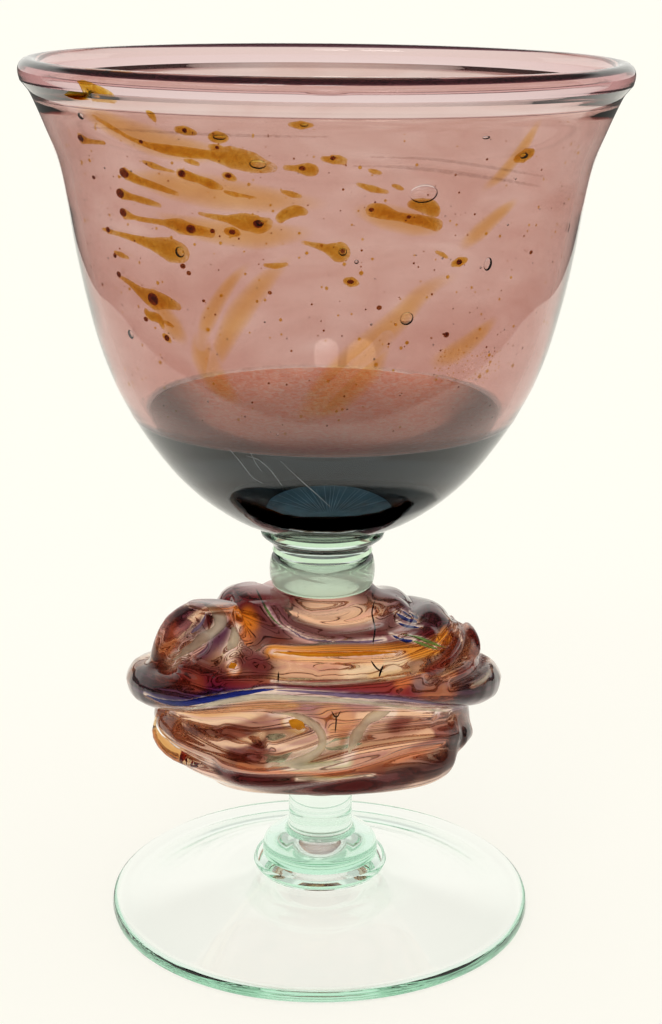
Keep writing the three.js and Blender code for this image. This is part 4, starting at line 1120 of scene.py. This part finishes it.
# Bubbles and the burnt hearts of the frit: pixel, then half width and half height in mm
bubbles = [
    (93, 97, 1.4, 0.8), (257, 166, 1.5, 0.9), (178, 253, 1.0, 1.0), (408, 320, 1.25, 1.25),
    (490, 265, 0.95, 1.25),
    (425, 195, 2.6, 1.75), (218, 139, 1.2, 0.5), (129, 335, 0.9, 0.9), (526, 157, 1.0, 0.6),
    (343, 253, 0.75, 0.75),
    (79, 117, 0.9, 0.7), (488, 139, 0.8, 0.35), (304, 127, 0.7, 0.3), (259, 224, 0.7, 0.55),
    (570, 228, 0.4, 0.9),
    (357, 263, 0.4, 0.4),
]
burntHearts = [
    (79, 139, 1.0, 0.7), (122, 174, 1.2, 1.0), (118, 194, 1.1, 0.9), (121, 213, 0.95, 0.8),
    (189, 230, 1.0, 0.8),
    (183, 132, 0.5, 0.45), (180, 175, 0.8, 0.7), (227, 177, 0.6, 0.5), (257, 225, 0.9, 0.75),
    (151, 300, 1.35, 1.2),
    (165, 339, 0.6, 0.6), (181, 267, 0.6, 0.5), (187, 274, 0.5, 0.45), (211, 232, 0.5, 0.45),
    (231, 233, 0.6, 0.5),
    (461, 263, 0.6, 0.5), (343, 252, 0.5, 0.5), (351, 283, 0.6, 0.4), (216, 149, 0.4, 0.35),
    (139, 143, 0.45, 0.4),
    (333, 160, 0.45, 0.4), (302, 170, 0.6, 0.45), (372, 211, 0.5, 0.4), (410, 218, 0.45, 0.35),
    (106, 230, 0.7, 0.55),
    (113, 256, 0.5, 0.5), (117, 275, 0.7, 0.6), (101, 285, 0.35, 0.35), (202, 302, 0.35, 0.3),
    (269, 294, 0.4, 0.35),
    (380, 309, 0.5, 0.45), (448, 336, 0.6, 0.55), (533, 253, 0.5, 0.4), (92, 178, 0.6, 0.4),
    (144, 320, 0.6, 0.5),
]


def ovalMesh(name, tree, spots, depth, thick):
    work = bmesh.new()
    for x, y, half, high in spots:
        hit, normal = metAt(tree, x, y)
        across = Vector((0, 0, 1)).cross(normal).normalized()
        axes = Matrix((across * half, normal.cross(across) * high,
                       normal * min(thick, 0.8 * high))).transposed()
        bmesh.ops.create_uvsphere(work, u_segments=20, v_segments=10, radius=mm, matrix=Matrix.Translation(
            hit - normal * depth * mm) @ axes.to_4x4())
    mesh = bpy.data.meshes.new(name)
    bmesh.ops.recalc_face_normals(work, faces=work.faces)
    work.to_mesh(mesh)
    work.free()
    return mesh


wallTree, baseTree, beadTree = treeOf(wall), treeOf(base), treeOf(beadMesh)
# The light that each takes, per millimetre of red, green and blue, and its tint
inWall = {"frit": ((0.28, 0.62, 2.8), "#f2e0b0"), "haze": ((0.05, 0.22, 0.85), "#ffffff"),
          "burnt": ((1.3, 2.3, 3.6), "#c09060"), "stria": ((0.5, 0.45, 0.4), "#f4f0ee")}
fritGlass = colouredInside("amber_frit_glass", *inWall["frit"])
hazeGlass = colouredInside("amber_haze_glass", *inWall["haze"])
burntGlass = colouredInside("burnt_amber_glass", *inWall["burnt"])
striaGlass = colouredInside("grey_stria_glass", *inWall["stria"])
bubbleAir = airInside("air_bubble")
for name, laid, thick, glass, edge in (
        ("bowl_frit", amberFrit, 0.45, fritGlass, 1.5), ("bowl_haze", amberHaze, 0.55, hazeGlass, 2.5),
        ("bowl_striae", striae, 0.12, striaGlass, 2)):
    newStrands(name, wallTree, laid, thick, glass, edge=edge, sides=16)
for name, spots, thick, glass in (
        ("bowl_burnt_frit", burntHearts, 0.4, burntGlass), ("bowl_bubbles", bubbles, 0.3, bubbleAir)):
    newPiece(name, ovalMesh(name, wallTree, spots, 1.0, thick), glass)
newStrands("bowl_scratches", baseTree, scratches, 0.05, threadGlass("scuffed_glass", "#c8d0d2", 0.3))

# Smoke glass lies thickest on the outside of the base, under the wall, and at the front, where the extra
# depth is painted shade for the dark that the base's front shows. Heights, thickness and inset are in mm, and
# frontFrom and frontTo say how far a place faces the front.
casing = {"from": 95.0, "full": 106.5, "to": 110.45, "thickness": 1.5, "inset": 0.12,
          "takes": (0.62, 0.47, 0.40), "frontFrom": -0.85, "frontTo": -0.25}
baseOutline = outlineOf("bowl_base")[0]
outside, inside = [], []
for z in np.linspace(casing["from"], casing["to"], 40):
    radius = crossings(baseOutline, z * mm)[1] - casing["inset"] * mm
    depth = casing["thickness"] * mm * (0.02 + easeShare(z, casing["from"], casing["full"]))
    outside.append((radius, z * mm))
    inside.append((radius - depth, z * mm))
casingMesh = turnedMesh("smoke_casing", outside + inside[::-1], [0.0] * (2 * len(outside)), True, 256, 0)
for vertex in casingMesh.vertices:
    outer = crossings(baseOutline, vertex.co.z)[1] - casing["inset"] * mm
    radius = vertex.co.xy.length
    # thick only where the base faces the front: painted shade
    share = 0.01 + 0.99 * easeShare(-vertex.co.y / radius, casing["frontFrom"], casing["frontTo"])
    vertex.co.xy *= (outer - (outer - radius) * share) / radius
casingMesh.vertices.foreach_set("co", handWobble(vertexArray(casingMesh), smokeLook["wobble"]).ravel())
newPiece("smoke_casing", casingMesh, colouredInside("smoke_casing_and_painted_shade_glass", casing["takes"], grain=6),
         smoothAngle=40)


# A thin body just under a face, between an upper and a lower edge that are given in pixels
def shellUnder(name, tree, upper, lower, depth, thick, columns=60, rows=10):
    (upperX, upperY), (lowerX, lowerY) = zip(*upper), zip(*lower)
    front, back = [], []
    for i in range(columns + 1):
        x = upperX[0] + (upperX[-1] - upperX[0]) * i / columns
        top, bottom = np.interp(x, upperX, upperY), np.interp(x, lowerX, lowerY)
        for j in range(rows + 1):
            hit, normal = metAt(tree, x, top + (bottom - top) * j / rows)
            share = 0.04 + math.sin(math.pi * i / columns) ** 0.3 * math.sin(math.pi * j / rows) ** 0.3
            front.append(hit - normal * depth * mm)
            back.append(hit - normal * (depth + thick * share) * mm)
    faces, row = [], rows + 1
    for i in range(columns):
        for j in range(rows):
            a, b, c, d = i * row + j, (i + 1) * row + j, (i + 1) * row + j + 1, i * row + j + 1
            faces += [(a, b, c, d), tuple(len(front) + k for k in (d, c, b, a))]
    edge = ([i * row for i in range(columns + 1)] + [columns * row + j for j in range(1, row)]
            + [i * row + rows for i in range(columns - 1, -1, -1)] + [j for j in range(rows - 1, 0, -1)])
    for a, b in zip(edge, edge[1:] + edge[:1]):
        faces.append((a, len(front) + a, len(front) + b, b))
    return closedMesh(name, front + back, faces)


# Where the bowl was set on its collar: a puckered blue-grey veil with fine rays, which is a painted
# reflection of the smoke glass seen in a film of air at the joint, a crescent of black glass that is a
# painted dark reflection, and a dark grey sheet round them that is painted shade
reflectionVeilUpper = [(266, 507), (270, 500), (280, 494), (296, 489), (312, 487), (329, 486), (346, 487), (362, 490),
             (378, 496), (388, 502), (392, 507)]
darkCrescentUpper = [(235, 499), (242, 502), (252, 505), (264, 508), (282, 515), (300, 518), (329, 518), (356, 517),
             (379, 513), (396, 507), (408, 501), (414, 503)]
darkCrescentLower = [(235, 501), (247, 514), (262, 523), (282, 530), (303, 533), (323, 534), (343, 534), (364, 531),
             (382, 527), (399, 519), (414, 506)]
reflectionVeilLower = [(266, 509)] + [(x, y + 1) for x, y in darkCrescentUpper if 270 < x < 390] + [(392, 509)]
shadeSheetUpper = [(226, 499), (233, 490), (250, 485), (300, 483), (360, 483), (410, 485), (434, 490), (442, 499)]
shadeSheetLower = [(226, 501), (240, 515), (262, 526), (300, 534), (329, 536), (360, 534), (395, 524), (422, 513),
             (442, 501)]


# How far inside a form a pixel lies, in pixels, with the form given by its upper and lower edge
def insideForm(x, y, upper, lower):
    top, bottom = np.interp(x, *zip(*upper)), np.interp(x, *zip(*lower))
    return min(y - top, bottom - y, x - upper[0][0], upper[-1][0] - x)


# Over the crescent the base's face mirrors nothing, and round it a little so, so that the painted reflection
# and shade under it show. Colours, clearness, depths and thicknesses are those of what lies under it, and the
# rays fan out from the middle.
joint = {
    "calmRound": 0.75, "shadeSheetColour": "#41484b", "reflectionVeilColour": "#4a6572", "darkCrescentTakes": (6.5, 7.6, 7.8),
    "reflectionRayColour": "#8fb0c0", "reflectionEdgeColour": "#1c2426",
    "rays": 19, "middle": 329, "rayEnd": 501, "rayFoot": 513, "fan": 58, "footFan": 14, "rise": 13.5,
}
calm = []
for vertex in base.vertices:
    x, y = pixelOf(vertex.co)
    front = vertex.co.y < 0 and vertex.co.z < casing["to"] * mm
    calm.append(front * max(easeShare(insideForm(x, y, darkCrescentUpper, darkCrescentLower), -1.5, 1),
                            joint["calmRound"] * easeShare(insideForm(x, y, shadeSheetUpper, shadeSheetLower), 1, 5)))
mark(base, "calm", calm)
for name, upper, lower, depth, thick, glass in (
        ("joint_painted_shade_sheet", shadeSheetUpper, shadeSheetLower, 1.4, 0.25,
         threadGlass("painted_shade_sheet_glass", joint["shadeSheetColour"], 0.1)),
        ("joint_painted_reflection_veil", reflectionVeilUpper, reflectionVeilLower, 0.5, 0.25,
         threadGlass("painted_reflection_veil_glass", joint["reflectionVeilColour"], 0.25)),
        ("joint_painted_dark_crescent", darkCrescentUpper, darkCrescentLower, 0.35, 0.9,
         colouredInside("painted_dark_reflection_crescent_glass", joint["darkCrescentTakes"], grain=2))):
    newPiece(name, shellUnder(name, baseTree, upper, lower, depth, thick), glass)
# The fine rays and the dark edge are part of the painted reflection in the veil
reflectionRays = []
for i in range(joint["rays"]):
    share = 2 * i / (joint["rays"] - 1) - 1
    end = Vector((joint["middle"] + joint["fan"] * share + 2 * math.sin(5 * i),
                  joint["rayEnd"] - joint["rise"] * math.sqrt(1 - share ** 2) + 1.5 * math.sin(3 * i)))
    start = Vector((joint["middle"] + joint["footFan"] * share, joint["rayFoot"]))
    reflectionRays.append(((0.015, 0.04, 0.04, 0.015), 0.4, [start.lerp(end, k) for k in (0, 0.35, 0.7, 1)]))
newStrands("painted_reflection_rays", baseTree, reflectionRays, 0.04, threadGlass("painted_reflection_ray_glass", joint["reflectionRayColour"], 0.5))
newStrands("painted_reflection_veil_edge", baseTree, [((0.03, 0.09, 0.09, 0.03), 0.4, reflectionVeilUpper)], 0.05,
           threadGlass("painted_reflection_edge_glass", joint["reflectionEdgeColour"], 0.0))


# Specks and seeds: small spheres strewn over a surface inside the glass
def scatterTree(name):
    tree = bpy.data.node_groups.new(name, "GeometryNodeTree")
    for label, kind in (("Surface", "Geometry"), ("Per Square Metre", "Float"), ("Smallest", "Float"),
                        ("Largest", "Float"), ("Seed", "Int"), ("Glass", "Material")):
        tree.interface.new_socket(label, in_out="INPUT", socket_type="NodeSocket" + kind)
    tree.interface.new_socket("Spots", in_out="OUTPUT", socket_type="NodeSocketGeometry")
    given = add(tree, "NodeGroupInput").outputs
    spread = add(tree, "GeometryNodeDistributePointsOnFaces", inputs={
        "Mesh": given["Surface"], "Density": given["Per Square Metre"], "Seed": given["Seed"]})
    ball = add(tree, "GeometryNodeMeshIcoSphere", inputs={"Radius": 1.0, "Subdivisions": 1})
    size = add(tree, "FunctionNodeRandomValue", {"data_type": "FLOAT"}, {
        2: given["Smallest"], 3: given["Largest"], "Seed": given["Seed"]})
    placed = add(tree, "GeometryNodeInstanceOnPoints", inputs={
        "Points": spread, "Instance": ball, "Scale": size.outputs[1]})
    real = add(tree, "GeometryNodeRealizeInstances", inputs={"Geometry": placed})
    coloured = add(tree, "GeometryNodeSetMaterial", inputs={"Geometry": real, "Material": given["Glass"]})
    add(tree, "NodeGroupOutput", inputs={"Spots": coloured})
    return tree


scatter = scatterTree("scattered_spots")


# Spots of a glass, as many as density per square metre, with radii between two sizes in mm
def newSpots(name, surface, density, sizes, seed, glass):
    given = {"Per Square Metre": density, "Smallest": sizes[0] * mm, "Largest": sizes[1] * mm, "Seed": seed,
             "Glass": glass}

    def strew(holder):
        strewn = holder.modifiers.new("strewn", "NODES")
        strewn.node_group = scatter
        for item in scatter.interface.items_tree:
            if item.name in given:
                strewn[item.identifier] = given[item.name]

    newPiece(name, modified(surface, strew), glass)


# The surface halfway through the bowl's wall, between two heights in mm
def wallMiddle(low, high):
    outline = thinnedWall(roundedOutline(*outlineOf("bowl_wall"), [], 0.8 * mm)[0])
    half = len(outline) // 2
    rows = [((outer[0] + inner[0]) / 2, outer[1]) for outer, inner in zip(outline[:half], outline[::-1])
            if low < outer[1] / mm < high]
    return turnedMesh("wall_middle", rows, [0.0] * len(rows), False, 96, amethystLook["wobble"])


# A patch under a face, seen through a box of pixels
def patchUnder(tree, box, depth, columns=12, rows=5):
    corners, faces = [], []
    for j in range(rows + 1):
        for i in range(columns + 1):
            x, y = box[0] + (box[2] - box[0]) * i / columns, box[1] + (box[3] - box[1]) * j / rows
            hit, normal = metAt(tree, x, y)
            corners.append(hit - normal * depth * mm)
    for j in range(rows):
        for i in range(columns):
            a = j * (columns + 1) + i
            faces.append((a, a + 1, a + columns + 2, a + columns + 1))
    mesh = bpy.data.meshes.new("patch")
    mesh.from_pydata(corners, [], faces)
    return mesh


for name, surface, density, sizes, seed, glass in (
        ("bowl_specks", wallMiddle(114, 169), 18000, (0.08, 0.26), 4, burntGlass),
        ("bowl_amber_specks", wallMiddle(114, 166), 15000, (0.14, 0.48), 7, fritGlass),
        ("bowl_seeds", wallMiddle(114, 166), 6000, (0.08, 0.25), 11, bubbleAir),
        ("bowl_speckled_patch", patchUnder(wallTree, (434, 350, 502, 384), 0.8), 1.0e6, (0.06, 0.2), 5,
         fritGlass)):
    newSpots(name, surface, density, sizes, seed, glass)

# Cords, which are streaks of darker glass, and seeds under the face of the bead
beadCords = [((0.05, 0.2, 0.25, 0.08), 0.3, [(282, 567), (297, 577), (312, 581), (326, 584)]),
             ((0.03, 0.12, 0.03), 0.3, [(350, 585), (358, 583), (364, 580)])]
newStrands("bead_cords", beadTree, beadCords, 0.06, threadGlass("olive_cord_glass", "#5f6a4a", 0.35),
           step=1.0)
newSpots("bead_seeds", patchUnder(beadTree, (296, 578, 352, 591), 0.22), 4e5, (0.05, 0.2), 3, bubbleAir)
print("frit, bubbles and specks done")

# Studio: a sheet of white paper that runs up behind the glass, in a room that is darker than the paper.
# Diffuse things are lit evenly by white. Only glass sees the dark room and its two lamp panels. The floor's
# size is in metres and its places in mm. floorGlow and glowThrough are the shares of the floor's light that
# are its own, seen straight and through glass. room and roomThrough are the room's light as seen in a mirror
# image and through glass. Each panel is the way to it and its width.
studio = {
    "floor": "#fffdf4", "tent": "#fffef8", "size": 20, "floorDown": 0.05, "floorGlow": 0.74,
    "glowThrough": 0.97,
    "paperMiddle": 238, "paperReach": 347, "paperEdge": 6, "paperTop": 0.42, "topEdge": 0.12,
    "paperTurn": -0.28, "turnEdge": 0.03, "room": 0.14, "roomThrough": 0.7, "panel": 4.0,
    "panels": [((-0.34, -0.62, 0.70), 0.012), ((-0.02, -0.70, 0.70), 0.008)],
}

floorMesh = bpy.data.meshes.new("floor")
half = studio["size"] / 2
corners = [(-half, -half, 0), (half, -half, 0), (half, half, 0), (-half, half, 0)]
floorMesh.from_pydata(corners, [], [(0, 1, 2, 3)])
floor = bpy.data.objects.new("floor", floorMesh)
floor.location = (0, 0, -studio["floorDown"] * mm)
scene.collection.objects.link(floor)
paper, tree = emptyMaterial("seamless_paper")
path = add(tree, "ShaderNodeLightPath").outputs
matt = add(tree, "ShaderNodeBsdfDiffuse", inputs={"Color": linear(studio["floor"])})
glow = add(tree, "ShaderNodeEmission", inputs={"Color": linear(studio["floor"])})
through = add(tree, "ShaderNodeMapRange", inputs={
    "Value": path["Transmission Depth"], "To Min": studio["floorGlow"], "To Max": studio["glowThrough"]})
litPaper = add(tree, "ShaderNodeMixShader", inputs={0: through, 1: matt, 2: glow})
place = add(tree, "ShaderNodeNewGeometry")
split = add(tree, "ShaderNodeSeparateXYZ", inputs={0: place.outputs["Position"]})
forward = add(tree, "ShaderNodeMath", {"operation": "SUBTRACT"}, {
    0: split.outputs["Y"], 1: studio["paperMiddle"] * mm})
forward = add(tree, "ShaderNodeMath", {"operation": "MINIMUM"}, {0: forward, 1: 0.0})
fromMiddle = add(tree, "ShaderNodeCombineXYZ", inputs={"X": split.outputs["X"], "Y": forward})
reach = add(tree, "ShaderNodeVectorMath", {"operation": "LENGTH"}, {0: fromMiddle})
past = add(tree, "ShaderNodeMapRange", inputs={
    "Value": reach.outputs["Value"], "From Min": studio["paperReach"] * mm,
    "From Max": (studio["paperReach"] + studio["paperEdge"]) * mm})
mirrored = add(tree, "ShaderNodeMath", {"operation": "MULTIPLY"}, {0: past, 1: path["Is Reflection Ray"]})
tableTop = add(tree, "ShaderNodeEmission", inputs={
    "Color": linear(studio["floor"]), "Strength": studio["room"]})
ground = add(tree, "ShaderNodeMixShader", inputs={0: mirrored, 1: litPaper, 2: tableTop})
add(tree, "ShaderNodeOutputMaterial", inputs={"Surface": ground})
floorMesh.materials.append(paper)

world = bpy.data.worlds.new("tent")
scene.world = world
world.use_nodes = True
tree = world.node_tree
tree.nodes.clear()
path = add(tree, "ShaderNodeLightPath").outputs
direction = add(tree, "ShaderNodeTexCoord").outputs["Generated"]
split = add(tree, "ShaderNodeSeparateXYZ", inputs={0: direction})
toFront = add(tree, "ShaderNodeMapRange", {"interpolation_type": "SMOOTHSTEP"}, {
    "Value": split.outputs["Y"], "From Min": -studio["paperTurn"] + studio["turnEdge"],
    "From Max": -studio["paperTurn"] - studio["turnEdge"]})
above = add(tree, "ShaderNodeMapRange", {"interpolation_type": "SMOOTHSTEP"}, {
    "Value": split.outputs["Z"], "From Min": studio["paperTop"],
    "From Max": studio["paperTop"] + studio["topEdge"]})
offPaper = add(tree, "ShaderNodeMath", {"operation": "MAXIMUM"}, {0: toFront, 1: above})
roomSeen = add(tree, "ShaderNodeMapRange", inputs={
    "Value": path["Is Reflection Ray"], "To Min": studio["roomThrough"], "To Max": studio["room"]})
throughGlass = add(tree, "ShaderNodeMath", {"operation": "MAXIMUM"}, {
    0: path["Is Reflection Ray"], 1: path["Is Transmission Ray"]})
unlit = add(tree, "ShaderNodeMath", {"operation": "LESS_THAN"}, {0: path["Diffuse Depth"], 1: 0.5})
throughGlass = add(tree, "ShaderNodeMath", {"operation": "MULTIPLY"}, {0: throughGlass, 1: unlit})
dark = add(tree, "ShaderNodeMath", {"operation": "MULTIPLY"}, {0: offPaper, 1: throughGlass})
shine = add(tree, "ShaderNodeMapRange", inputs={"Value": dark, "To Min": 1.0, "To Max": roomSeen})
for aim, width in studio["panels"]:
    near = add(tree, "ShaderNodeVectorMath", {"operation": "DOT_PRODUCT"}, {
        0: direction, 1: Vector(aim).normalized()})
    spot = add(tree, "ShaderNodeMapRange", {"interpolation_type": "SMOOTHSTEP"}, {
        "Value": near.outputs["Value"], "From Min": 1 - width, "From Max": 1 - width * 0.7,
        "To Max": studio["panel"]})
    seen = add(tree, "ShaderNodeMath", {"operation": "MULTIPLY"}, {0: spot, 1: path["Is Reflection Ray"]})
    shine = add(tree, "ShaderNodeMath", {"operation": "ADD"}, {0: shine, 1: seen})
light = add(tree, "ShaderNodeBackground", inputs={"Color": linear(studio["tent"]), "Strength": shine})
add(tree, "ShaderNodeOutputWorld", inputs={"Surface": light})

camera = bpy.data.objects.new("camera", bpy.data.cameras.new("camera"))
scene.collection.objects.link(camera)
camera.location = view["place"]
camera.rotation_euler = viewTurn
camera.data.lens = view["lens"]
camera.data.sensor_width = view["sensor"]
camera.data.clip_start = view["nearest"]
scene.camera = camera

# Light crosses many faces on its way through the knop
scene.view_settings.view_transform = "Standard"
scene.cycles.max_bounces = 32
scene.cycles.transmission_bounces = 32
scene.cycles.glossy_bounces = 16
scene.cycles.transparent_max_bounces = 32
print("studio done")
